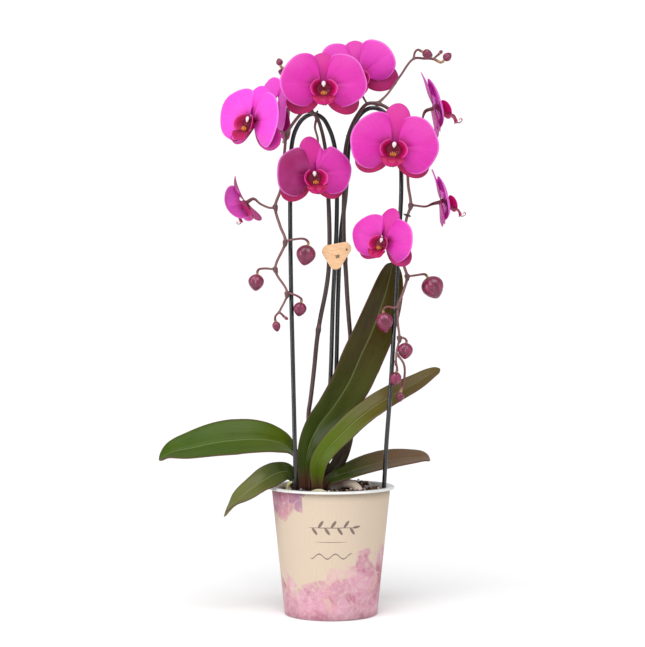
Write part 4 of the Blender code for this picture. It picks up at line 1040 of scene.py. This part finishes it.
def make_bark():
    """Loose bark chips over a dark bed, with white grains of perlite between them."""
    pile = Pile()
    top = BARK_TOP - 3.5 * MM
    edge = BARK_RADIUS - 1.5 * MM
    pile.lathe([(AXIS_RADIUS, 60 * MM), (44 * MM, 60 * MM), (edge, top), (AXIS_RADIUS, top)], 64)
    for _ in range(CHIP_COUNT):
        away = edge * math.sqrt(random.uniform(0, 0.93))
        angle = random.uniform(0, 2 * math.pi)
        length = random.uniform(3.2, 7.5) * MM
        size = (length, length * random.uniform(0.45, 0.8), random.uniform(1.2, 2.6) * MM)
        lift = random.uniform(-3.0, 1.8) * MM
        centre = on_bark(min(away, edge - length * 0.9), angle, lift)
        chip(pile, centre, size, random.random() ** 2.2)
    piece = pile.made("bark_chips", [bark_material()], "bark", ["potting_bark"])
    bevel = piece.modifiers.new("worn", "BEVEL")
    bevel.width = 0.35 * MM
    bevel.segments = 1
    grains = Pile()
    for _ in range(GRAIN_COUNT):
        away = (edge - 3 * MM) * math.sqrt(random.uniform(0, 1))
        angle = random.uniform(0, 2 * math.pi)
        size = random.uniform(0.9, 2.1) * MM
        centre = on_bark(away, angle, random.uniform(0.5, 3.4) * MM)
        chip(grains, centre, (size, size * 0.9, size * 0.8), 0, lumps=14)
    grains.made("perlite_grains", [perlite_material()], "bark", ["potting_bark"], level=1)


def make_roots():
    """The aerial roots, lumpy along their length and greener where they are young."""
    skin = root_material()
    for name, (radius, tone, points) in ROOTS.items():
        route = plant_route(points, 1.2)
        radii = []
        for index, spot in enumerate(route):
            lump = noise.noise(spot * 160 + Vector((radius, 0, 0))) * 0.28
            radii.append(radius * MM * (1 + lump - 0.12 * smooth_step((index / len(route) - 0.8) / 0.2)))
        pile = Pile()
        pile.tube(route, radii, 14, tones=tone)
        pile.made("aerial_root_" + name, [skin], "root", ["root_" + name], level=1)


# ---------------------------------------------------------------------------------------------------------
# Leaves and crown
# ---------------------------------------------------------------------------------------------------------

def leaf_half_width(leaf, share):
    """Half width along the leaf: a narrow base, a long swell and a more or less pointed tip."""
    if share < LEAF_WIDEST:
        swell = math.sin(math.pi / 2 * max(share - 0.05, 0) / (LEAF_WIDEST - 0.05)) ** leaf.slow
        return leaf.base_half + (leaf.middle_half - leaf.base_half) * swell
    fall = (share - LEAF_WIDEST) / (1 - LEAF_WIDEST)
    return leaf.middle_half * max(1 - fall ** 2.3, 0) ** leaf.point + 0.5


def leaf_across(leaf, share):
    """Which way the blade lies across its midrib, turning from its base over its middle to its tip."""
    base, middle, tip = (Vector(direction).normalized() for direction in leaf.across)
    if share < 0.35:
        return base.lerp(middle, smooth_step(share / 0.35))
    return middle.lerp(tip, (share - 0.35) / 0.65)


def make_leaf(name, leaf, seed):
    """A leaf: a grid across its midrib, folded in the middle, that clasps the crown at its base."""
    route = plant_route(leaf.midrib, 2.5)
    rows, columns = len(route), 17
    face = 1 if route[-1].x > route[0].x and name != "tall" else -1
    grid = []
    for index, centre in enumerate(route):
        share = index / (rows - 1)
        tangent = tangent_at(route, index)
        across = square_to(leaf_across(leaf, share), tangent)
        normal = tangent.cross(across)
        half = leaf_half_width(leaf, share) * MM
        fold = leaf.fold * MM * min(half / (leaf.middle_half * MM), 1)
        clasp = LEAF_CLASP * (1 - smooth_step(share / 0.22))
        line = []
        for column in range(columns):
            step = 2 * column / (columns - 1) - 1
            sink = (fold + clasp) * (abs(step) ** 1.5 - 0.4)
            groove = LEAF_GROOVE * math.exp(-(step / 0.07) ** 2) * smooth_step((1 - share) / 0.15)
            wave = LEAF_WAVE * math.sin(11 * share + seed + 2 * step) * abs(step) ** 2
            line.append(centre + across * half * step + normal * face * (sink - groove + wave))
        grid.append(line)
    upper = leaf_material("leaf_upper_" + name, leaf.upper, leaf.tip, seed, True)
    under = leaf_material("leaf_under_" + name, leaf.under, leaf.under, seed + 3, False)
    pile = Pile()
    pile.sheet(grid, LEAF_THICK, front=int(face < 0), back=int(face > 0))
    pile.made("blade_" + name, [upper, under], "leaf", ["leaf_" + name], level=1)


def make_crown():
    """The short stem, wrapped in the old purple sheaths that the leaves grow from."""
    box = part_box("crown")
    middle = (box[0] + box[1]) / 2
    radius = (box[1].x - box[0].x) / 2
    look = leaf_material("crown_sheath", (70, 84, 34), (96, 60, 58), 5.5, False)

    def shape(around, along):
        angle = 2 * math.pi * around
        swell = math.sin(math.pi * clamp(along) ** 0.8) ** 0.45
        ridge = 1 + 0.07 * math.cos(3 * angle + 5 * along) - 0.06 * abs(math.sin(9 * along))
        reach = radius * swell * ridge
        height = box[0].z + (box[1].z - box[0].z) * along
        return Vector((middle.x, middle.y, 0)) + turned(reach, angle, height)

    pile = Pile()
    pile.blob(shape, 26, 36)
    pile.made("crown_sheaths", [look], "stem", ["crown"], level=1)


# ---------------------------------------------------------------------------------------------------------
# Flowers
# ---------------------------------------------------------------------------------------------------------

def facing(turn, tilt, roll):
    """Rotation from a bloom's own axes (right, up, forward) to the plant's."""
    turn, tilt, roll = math.radians(turn), math.radians(tilt), math.radians(roll)
    forward = Vector((math.sin(turn) * math.cos(tilt), -math.cos(turn) * math.cos(tilt), math.sin(tilt)))
    right = Vector((math.cos(turn), math.sin(turn), 0))
    up = forward.cross(right)
    rolled_right = right * math.cos(roll) + up * math.sin(roll)
    rolled_up = up * math.cos(roll) - right * math.sin(roll)
    return Matrix((rolled_right, rolled_up, forward)).transposed()


def petal_reach(angle):
    """Reach of a petal's outline at an angle, on a smooth curve through the outline's points."""
    points = [PETAL_OUTLINE[0]] + list(PETAL_OUTLINE) + [PETAL_OUTLINE[-1]]
    for before, low, high, after in zip(points, points[1:], points[2:], points[3:]):
        if angle <= high[0] or high is PETAL_OUTLINE[-1]:
            share = (angle - low[0]) / (high[0] - low[0])
            slope_low = (high[1] - before[1]) / max(high[0] - before[0], 1) * (high[0] - low[0])
            slope_high = (after[1] - low[1]) / max(after[0] - low[0], 1) * (high[0] - low[0])
            cube, square = share ** 3, share ** 2
            return ((2 * cube - 3 * square + 1) * low[1] + (cube - 2 * square + share) * slope_low
                    + (3 * square - 2 * cube) * high[1] + (cube - square) * slope_high)


def petal_grid(flower, side, seed, notch):
    """A petal as a fan from its claw, domed in the middle and bent back at a softly waving rim."""
    reach = flower.span * 0.5 - PETAL_CLAW
    first, last = PETAL_OUTLINE[0][0], PETAL_OUTLINE[-1][0]
    sweep = math.tan(math.radians(flower.sweep))

    def spot(out, over):
        angle = first + (last - first) * over
        rim = petal_reach(angle) * (1 + 0.012 * math.sin(angle * 0.13 + seed) * flower.wave)
        rim *= 1 + flower.crown * smooth_step((angle - 10) / 50)
        rim *= 1 + flower.chin * smooth_step((-8 - angle) / 40)
        rim -= 0.2 * notch * math.exp(-((angle - 66) / 3.4) ** 2)
        distance = reach * rim * (0.05 + 0.95 * out)
        heading = math.radians(angle + flower.lift * (1 - over))
        x, y = PETAL_CLAW + distance * math.cos(heading), distance * math.sin(heading)
        bow = max(x, 0) * sweep * 1.25 * (max(x, 0) / reach) ** 0.6 * (1 - 0.35 * distance / reach)
        dome = 2.4 * math.sin(math.pi * out ** 0.9) - 2.2 * out ** 4
        crease = -0.7 * math.exp(-((angle - 6) / 7) ** 2) * math.sin(math.pi * out ** 0.7)
        wave = flower.wave * 0.9 * math.sin(angle * 0.085 + seed * 1.7) * out ** 3
        tuck = -2.6 * smooth_step((-30 - angle) / 32) * out ** 1.5
        return Vector((side * x, y, 1.3 + bow + dome + crease + wave + tuck))

    return grid_of(15, 35, spot)


def sepal_grid(flower, angle, length, half, level, seed):
    """A sepal as an oval blade from the hub, slightly keeled, with its tip bent back."""
    heading = math.radians(angle)
    along = Vector((math.cos(heading), math.sin(heading), 0))
    across = Vector((-along.y, along.x, 0))

    def spot(down, over):
        share = math.sin(math.pi / 2 * down)
        if share < SEPAL_WIDEST:
            swell = math.sin(math.pi / 2 * share / SEPAL_WIDEST)
        else:
            swell = math.sqrt(max(1 - ((share - SEPAL_WIDEST) / (1 - SEPAL_WIDEST)) ** 2.3, 0))
        width = half * (0.28 * (1 - share) ** 2 + 0.97 * swell) + 0.25
        step = 2 * over - 1
        point = along * (1.0 + (length - 1.0) * share) + across * width * step
        arch = 0.06 * length * math.sin(math.pi * share) * flower.sweep / 14
        point.z = level + arch - 2.4 * share ** 3 - 1.3 * step ** 2 * math.sin(math.pi * share)
        point.z += 0.45 * math.sin(7 * share + seed) * step
        return point

    return grid_of(16, 8, spot)


def lobe_grid(scale, side):
    """One raised side lobe of the lip, a cupped flap from under the column out to its rolled rim."""
    def spot(out, over):
        angle = math.radians(-98 + 172 * over)
        flare = 0.42 + 0.58 * out ** 0.75
        depth = 9.6 * math.sin(math.pi * (0.12 + 0.80 * over)) ** 0.8
        curl = smooth_step((out - 0.8) / 0.2)
        x = 0.6 + (1.2 + 10.6 * flare + curl) * math.cos(angle)
        y = -4.2 + 10.4 * flare * math.sin(angle)
        return Vector((side * x, y, LIP_START / scale + depth * out)) * scale

    return grid_of(10, 16, spot)


def throat_grid(scale):
    """The dark dish that closes the lip's throat behind its lobes, with its ends a hair apart."""
    def spot(out, over):
        angle = (2 * math.pi + 0.016) * over
        x, y = 7.2 * out * math.cos(angle), -4.4 + 6.0 * out * math.sin(angle)
        return Vector((x, y, LIP_START / scale + 0.3 + 1.2 * out ** 2)) * scale

    return grid_of(6, 16, spot)


def tongue_grid(scale, seed):
    """The lip's middle lobe: a spear-shaped blade with shoulders, running forward and down to its tip."""
    def spot(share, over):
        width = 11.4 * math.sqrt(max(1 - share ** 3.5, 0)) * (0.6 + 0.4 * smooth_step(share / 0.3)) + 0.5
        step = 2 * over - 1
        curl = 3.4 * step ** 2 * math.sin(math.pi * share ** 0.8)
        curl += 1.5 * share * math.sin(8 * step + seed)
        y = -10.4 - 10.6 * share + 0.6 * curl
        z = 11.4 + 7.0 * math.sin(1.9 * share) - 2.6 * step ** 2 + 0.5 * curl
        return Vector((width * step, y, z)) * scale

    return grid_of(14, 10, spot)


def tendril_route(scale, side):
    """A thread from the tongue's tip that runs forward and curls back up on itself."""
    tip = Vector((0.5 * side, -21.0, 18.0))
    points = [tip, tip + Vector((0.8 * side, -0.5, 2.2)), tip + Vector((1.5 * side, 0.1, 4.0))]
    for step in range(1, 8):
        angle = math.radians(-70 + 40 * step)
        size = 2.2 - 0.17 * step
        points.append(tip + Vector(((1.8 + 0.35 * step) * side, 2.0 + size * math.sin(angle),
                                    4.0 + size * math.cos(angle) * 0.9)))
    return smooth_route([point * scale for point in points], 0.5)


def column_cap(scale):
    """The column's cap: a rounded waxy knob with a small beak."""
    def shape(around, along):
        angle = 2 * math.pi * around
        bulge = math.sin(math.pi * along)
        x = 2.15 * bulge * math.cos(angle)
        y = 2.55 * bulge * math.sin(angle)
        beak = -0.9 * smooth_step((-math.sin(angle) - 0.55) / 0.45) * bulge
        return Vector((x * (1 + 0.35 * beak), y + beak + 1.0, 7.4 + 3.6 * along)) * scale
    return shape


def callus_knob(scale, across, length):
    """One of the small knobs that stand in a row in the lip's throat."""
    middle = Vector((across, -9.4 + 0.3 * length, 12.4 - 0.35 * abs(across)))

    def shape(around, along):
        angle = 2 * math.pi * around
        bulge = math.sin(math.pi * along) ** 0.8
        x, z = 0.62 * bulge * math.cos(angle), 1.1 * bulge * math.sin(angle)
        return (middle + Vector((x, length * (1 - 2 * along), z))) * scale
    return shape


def make_flower(name, flower, looks, seed):
    """A bloom, drawn facing forward about its hub and then turned and set on the plant."""
    spot = plant(*flower.place)
    turn = facing(flower.turn, flower.tilt, flower.roll)
    scale = flower.span / DRAWN_SPAN
    node = ["flower_" + name]

    def set_down(point):
        return spot + turn @ (point * MM)

    def set_grid(grid):
        return [[set_down(point) for point in line] for line in grid]

    def set_shape(shape):
        return lambda around, along: set_down(shape(around, along))

    petals = Pile()
    for side in (1, -1):
        notch = 1.0 if name == "left_middle" and side == 1 else 0.0
        grid = set_grid(petal_grid(flower, side, seed + side, notch))
        # The petals' tone: the bloom's paleness (painted light on the side blooms) less its painted shade on
        # that side.
        petals.sheet(grid, PETAL_THICK, front=int(side < 0), back=int(side > 0),
                     tone=flower.pale - flower.dusk[side > 0])
    petals.made("petals_" + name, looks["petal"], "petal", node, level=1)

    sepals = Pile()
    side_length, side_half = flower.span * 0.47, flower.span * 0.16
    for angle, length, half, level, front in (
            (90, flower.span * flower.dorsal, flower.span * 0.150, -1.1, 0),
            (flower.lateral, side_length, side_half, -1.6, 1),
            (180 - flower.lateral, side_length, side_half, -2.1, 1)):
        grid = set_grid(sepal_grid(flower, angle, length, half, level, seed + angle))
        # The sepals take the bloom's paleness, painted light on the side blooms, the side sepals less of it.
        sepals.sheet(grid, SEPAL_THICK, front=front, back=2, tone=flower.pale * (1 - 0.6 * front))
    sepals.made("sepals_" + name, looks["sepal"], "petal", node, level=1)

    lip = Pile()
    for side in (1, -1):
        lip.sheet(set_grid(lobe_grid(scale, side)), PETAL_THICK)
    lip.sheet(set_grid(tongue_grid(scale, seed)), SEPAL_THICK)
    lip.sheet(set_grid(throat_grid(scale)), PETAL_THICK, tone=0.95)
    for side in (1, -1):
        route = [set_down(point) for point in tendril_route(scale, side)]
        radii = [(0.55 - 0.38 * index / len(route)) * MM * scale for index in range(len(route))]
        lip.tube(route, radii, 8)
    for across, length in ((-2.3, 1.9), (-0.8, 2.8), (0.8, 2.6), (2.3, 2.0)):
        lip.blob(set_shape(callus_knob(scale, across, length)), 8, 12, look=1)
    lip.made("lip_lobes_" + name, looks["lip"], "lip", ["lip_" + name], level=1)

    column = Pile()
    route = [set_down(Vector((0, 0.6 + 0.05 * step, -2.2 + 1.2 * step)) * scale) for step in range(10)]
    radii = [MM * scale * (2.0 + 1.1 * math.sin(math.pi * (step / 9) ** 0.7)) for step in range(10)]
    column.tube(route, radii, 14)
    column.blob(set_shape(column_cap(scale)), 12, 18, tone=lambda around, along: 1.0)
    column.made("column_" + name, looks["column"], "petal", node, level=1)


def flower_looks():
    """The materials of a bloom's pieces, in the order of their slots."""
    skin = {name: tepal_material(name, *facts) for name, facts in TEPALS.items()}
    return {
        "petal": [skin["petal_face"], skin["petal_back"]],
        "sepal": [skin["sepal_dorsal"], skin["sepal_side"], skin["sepal_back"]],
        "lip": [lip_material(), callus_material()],
        "column": [column_material()],
    }


# ---------------------------------------------------------------------------------------------------------
# Buds, spikes, hoops, clips and tag
# ---------------------------------------------------------------------------------------------------------

def make_bud(name, bud, look, seed):
    """A closed bud: three sepals that meet in grooves, with one groove towards the front."""
    heading = Vector(bud.tip).normalized()
    front = square_to(FORWARD, heading)
    side = heading.cross(front)
    spot = plant(*bud.place)
    lean = 0.22 * math.sin(seed * 2.3)

    def groove(around):
        """How close a direction is to one of the three grooves, from 0 to 1."""
        nearest = min(abs((around - third / 3 - lean * 0.2 + 0.5) % 1 - 0.5) for third in range(3))
        return math.exp(-(nearest / 0.035) ** 2)

    def shape(around, along):
        angle = 2 * math.pi * around
        reach = 0.5 * math.sin(math.pi * along ** 0.82) ** 0.64
        keel = 1 + 0.05 * math.cos(3 * (angle - 2 * math.pi * lean * 0.2) + math.pi)
        dent = 1 - 0.13 * groove(around) * math.sin(math.pi * along) ** 0.6
        tip = 0.03 * math.sin(angle + seed) * math.sin(math.pi * along)
        out = ring_way(front, side, angle) * reach * keel * dent * bud.width
        return spot + (out + heading * bud.length * (along - 0.5) + side * tip * bud.width) * MM

    pile = Pile()
    # The tone is high in the grooves, where the skin is painted darker as shade.
    pile.blob(shape, 26, 48, tone=lambda around, along: groove(around) * math.sin(math.pi * along) ** 0.5)
    pile.made("closed_bud_" + name, [look], "bud", ["bud_" + name])


def end_of_branch(end):
    """Where a branch's last stretch ends, which way it arrives, and how long that stretch is."""
    if end in FLOWERS:
        flower = FLOWERS[end]
        heading = facing(flower.turn, flower.tilt, flower.roll) @ Vector((0, 0, 1))
        return plant(*flower.place) - heading * 1.5 * MM, heading, 7.7 * MM
    bud = BUDS[end]
    heading = Vector(bud.tip).normalized()
    return plant(*bud.place) - heading * (bud.length / 2 - 0.8) * MM, heading, 3.1 * MM


def make_spike(name, main, branches, nodes, look):
    """A spike with swollen nodes, small bracts, and branches that thicken towards their flowers."""
    route = plant_route(main, 1.6)
    node_places = [plant(*point) for point in nodes]
    radii, ages = [], []
    for index, spot in enumerate(route):
        share = index / (len(route) - 1)
        radius = STEM_RADIUS - STEM_LOSS * clamp((share - 0.45) / 0.25)
        radius -= STEM_TIP_LOSS * smooth_step((share - 0.85) / 0.15)
        swell = max(math.exp(-((spot - place).length / (NODE_REACH * MM)) ** 2) for place in node_places)
        radii.append(radius * MM * (1 + 0.3 * swell))
        ages.append(share)
    pile = Pile()
    pile.tube(route, radii, 14, tones=ages)
    for place in node_places:
        add_bract(pile, route, place)
    for points, end in branches:
        last, heading, lead = end_of_branch(end)
        points = [plant(*point) for point in points] + [last - heading * lead, last]
        branch = smooth_route(points, 1.4 * MM)
        thick, aged = (0.9, 0.6) if end in FLOWERS else (0.35, 1.0)
        shares = [index / (len(branch) - 1) for index in range(len(branch))]
        flares = [0.5 * (1 - smooth_step(share / 0.15)) + thick * smooth_step((share - 0.55) / 0.45)
                  for share in shares]
        pile.tube(branch, [(BRANCH_RADIUS + flare) * MM for flare in flares], 12,
                  tones=[1.0 + share * aged for share in shares])
    pile.made("flower_" + name, [look], "stem", [name], level=1)


def make_spike_sheath():
    """A sheath that wraps the foot of the right spike, coloured near black as painted shade."""
    route = plant_route(RIGHT_SPIKE[:5], 2.0)
    grid = []
    for index, spot in enumerate(route):
        share = index / (len(route) - 1)
        tangent = tangent_at(route, index)
        front = square_to(Vector((0.1, -1, 0)), tangent)
        side = tangent.cross(front)
        half = (3.4 + 3.6 * math.sin(math.pi * min(share * 1.05, 1) ** 0.9)) * MM * (1 - 0.85 * share ** 5)
        line = []
        for column in range(9):
            step = column / 4 - 1
            line.append(spot + side * half * step + front * (3.6 - 4.2 * step ** 2) * MM)
        grid.append(line)
    pile = Pile()
    pile.sheet(grid, SHEATH_THICK)
    # Painted shade: the sheath's near black colours stand for the shade at the foot of the spike.
    look = leaf_material("sheath_painted_shade", (34, 18, 14), (44, 16, 20), 9.0, False)
    pile.made("spike_foot_sheath", [look], "stem", ["spike_right"], level=1)


def add_bract(pile, route, place):
    """A small pointed scale that wraps the stem above a node."""
    index = min(range(2, len(route) - 6), key=lambda at: (route[at] - place).length)
    grid = []
    for row in range(6):
        at = index - 1 + row
        tangent = tangent_at(route, at)
        front = square_to(Vector((0.3, -1, 0.1)), tangent)
        side = tangent.cross(front)
        spread = math.radians(125 * (1 - (row / 5) ** 1.4) + 6)
        radius = (STEM_RADIUS + 0.45 - 0.1 * row) * MM
        line = []
        for column in range(7):
            angle = spread * (column / 3 - 1)
            line.append(route[at] + ring_way(front, side, angle) * radius)
        grid.append(line)
    pile.sheet(grid, BRACT_THICK, tone=0.62)


def make_hoops(look):
    """The two bent rods, each from the bark over its arch and back to the bark."""
    for name, points in (("hoop_left", LEFT_HOOP), ("hoop_right", RIGHT_HOOP)):
        pile = Pile()
        pile.tube(plant_route(points, 3), ROD_RADIUS, 20)
        pile.made("arch_" + name, [look], "black_rod", [name])


def make_clip(name, centre, axis, held_radius, look, extra=()):
    """A moulded spring clip: an open ring round a rod, with a small finger loop at each end."""
    axis = axis.normalized()
    across = square_to(FORWARD, axis)
    other = axis.cross(across)
    radius = held_radius + CLIP_WIRE + 0.25 * MM
    angles = [math.radians(60 - 290 * step / 32) for step in range(33)]
    ring = [centre + ring_way(across, other, angle) * radius for angle in angles]
    pile = Pile()
    pile.tube(list(extra) + ring, CLIP_WIRE, 10)
    for end, before in ((ring[0], ring[2]), (ring[-1], ring[-3])):
        if extra and end is ring[0]:
            continue
        out = (end - before).normalized()
        loop = [end, end + (out * 1.4 + across * 0.6) * MM, end + (out * 2.2 + across * 1.8) * MM]
        pile.tube(smooth_route(loop, 0.4 * MM), CLIP_LOOP_WIRE, 8)
    pile.made(name + "_spring", [look], "black_rod", [name])


def nearest_on(points, spot):
    """The point of a route that is nearest to a place, and the route's direction there."""
    route = plant_route(points, 2)
    index = min(range(1, len(route) - 1), key=lambda at: (route[at] - spot).length)
    return route[index], route[index + 1] - route[index - 1]


def make_clips(look):
    """Two clips on the arches, one at the right spike, and one whose long prong holds the tag."""
    make_clip("clip_left_arch", *nearest_on(LEFT_HOOP, plant(-14, -1, 376)), ROD_RADIUS, look)
    make_clip("clip_right_arch", *nearest_on(RIGHT_HOOP, plant(20, 2, 354)), ROD_RADIUS, look)
    make_clip("clip_right_spike", *nearest_on(RIGHT_SPIKE, plant(76, -13, 274)), 1.6 * MM, look)
    centre, axis = nearest_on(RIGHT_SPIKE, plant(13, -3, 241))
    pin = plant(*TAG_PIN)
    bend = centre + Vector((1, -1, 0)).normalized() * 3.5 * MM + Vector((1.6, -2.2, 0)) * MM
    prong = smooth_route([pin - Vector((0, 2.5, 0)) * MM, pin + Vector((0, 1.5, 0)) * MM, bend], 0.6 * MM)
    make_clip("clip_tag", centre, axis, STEM_RADIUS * MM, look, prong)


def make_tag():
    """A thin wooden tag, three cornered and rounded, with eased edges."""
    outline = []
    for index, (x, z) in enumerate(TAG_CORNERS):
        for step in range(15):
            angle = math.radians(210 - 120 * index - 120 * step / 14)
            away = Vector((math.cos(angle), 0, math.sin(angle))) * TAG_CORNER_RADIUS
            outline.append(Vector((x, 0, z)) + away)
    middle = sum(outline, Vector()) / len(outline)
    pile = Pile()
    count = len(outline)
    levels = ((-1.6, 0.955), (-1.45, 0.985), (-1.2, 1.0), (-0.4, 1.0), (-0.15, 0.985), (0.0, 0.955))
    for depth, size in levels:
        for point in outline:
            spot = middle + (point - middle) * size
            pile.add_point(plant(spot.x, TAG_PIN[1] + depth, spot.z))
    last = (len(levels) - 1) * count
    for low in range(0, last, count):
        pile.add_band(low, low + count, count)
    pile.add_face(range(count))
    pile.add_face(range(last, last + count))
    piece = pile.made("birch_tag", [tag_material()], "tag_wood", ["name_tag"])
    piece.data.set_sharp_from_angle(angle=math.radians(50))


# ---------------------------------------------------------------------------------------------------------
# Studio
# ---------------------------------------------------------------------------------------------------------

def aim(made, direction):
    made.rotation_euler = Vector(direction).to_track_quat("-Z", "Y").to_euler()


def soft_box(name, place, size, power):
    """A large rectangular light, turned towards the middle of the plant."""
    light = bpy.data.lights.new(name, "AREA")
    light.shape = "RECTANGLE"
    light.size, light.size_y = size
    light.energy = power
    made = new_object(name, light)
    made.location = place
    aim(made, Vector((0, 0, 0.3)) - Vector(place))


def make_studio():
    """A white room and floor, one soft key light, two tall strips and the camera."""
    scene = bpy.context.scene
    scene.view_settings.view_transform = "Standard"
    world = bpy.data.worlds.new("studio")
    world.use_nodes = True
    scene.world = world
    background = world.node_tree.nodes["Background"]
    background.inputs["Color"].default_value = (1, 1, 1, 1)
    seen = world.node_tree.nodes.new("ShaderNodeLightPath").outputs["Is Camera Ray"]
    strength = world.node_tree.nodes.new("ShaderNodeMapRange")
    strength.inputs["To Min"].default_value = ROOM_LIGHT
    strength.inputs["To Max"].default_value = BACKDROP_LIGHT
    world.node_tree.links.new(seen, strength.inputs["Value"])
    world.node_tree.links.new(strength.outputs[0], background.inputs["Strength"])

    mesh = bpy.data.meshes.new("floor")
    reach = 40.0
    corners = [(-reach, -reach, 0), (reach, -reach, 0), (reach, reach, 0), (-reach, reach, 0)]
    mesh.from_pydata(corners, [], [(0, 1, 2, 3)])
    look = Shading("floor_white", 0.9, Specular_IOR_Level=0.0)
    cloud = look.grain(0.8, 2)
    look.colour(look.mix(look.span(cloud, 0.3, 0.7), (0.98, 0.98, 0.98, 1), (0.96, 0.96, 0.965, 1)))
    mesh.materials.append(look.material)
    floor = new_object("floor", mesh)

    sun = bpy.data.lights.new("key", "SUN")
    sun.energy = KEY_LIGHT
    sun.angle = math.radians(50)
    aim(new_object("key", sun), (0.1, 0.8, -0.95))
    soft_box("strip_left", (-1.2, -0.9, 0.45), (0.35, 1.3), 7.0)
    soft_box("strip_right", (1.3, -0.8, 0.45), (0.3, 1.2), 2.0)

    camera = bpy.data.cameras.new("camera")
    camera.sensor_width = 36
    camera.lens = camera.sensor_width * -CAMERA_PLACE[1] / CAMERA_FRAME
    scene.camera = new_object("camera", camera)
    scene.camera.location = CAMERA_PLACE
    scene.camera.rotation_euler = (math.pi / 2, 0, 0)


# ---------------------------------------------------------------------------------------------------------

def make_plant():
    """Everything that grows from the pot: crown, leaves, flowers, buds and spikes."""
    make_crown()
    for number, (name, leaf) in enumerate(LEAVES.items()):
        make_leaf(name, leaf, 1.7 * number)
    shades = flower_looks()
    for number, (name, flower) in enumerate(FLOWERS.items()):
        make_flower(name, flower, shades, 1.3 * number)
    shade = bud_material()
    for number, (name, bud) in enumerate(BUDS.items()):
        make_bud(name, bud, shade, 0.9 * number)
    shade = stem_material()
    make_spike("spike_left", LEFT_SPIKE, LEFT_BRANCHES, LEFT_NODES, shade)
    make_spike("spike_right", RIGHT_SPIKE, RIGHT_BRANCHES, RIGHT_NODES, shade)
    make_spike_sheath()


def make_supports():
    """The two hoops, their clips and the tag."""
    shade = rod_material()
    make_hoops(shade)
    make_clips(shade)
    make_tag()


make_studio()
make_pot()
make_sleeve()
make_bark()
make_roots()
make_plant()
make_supports()
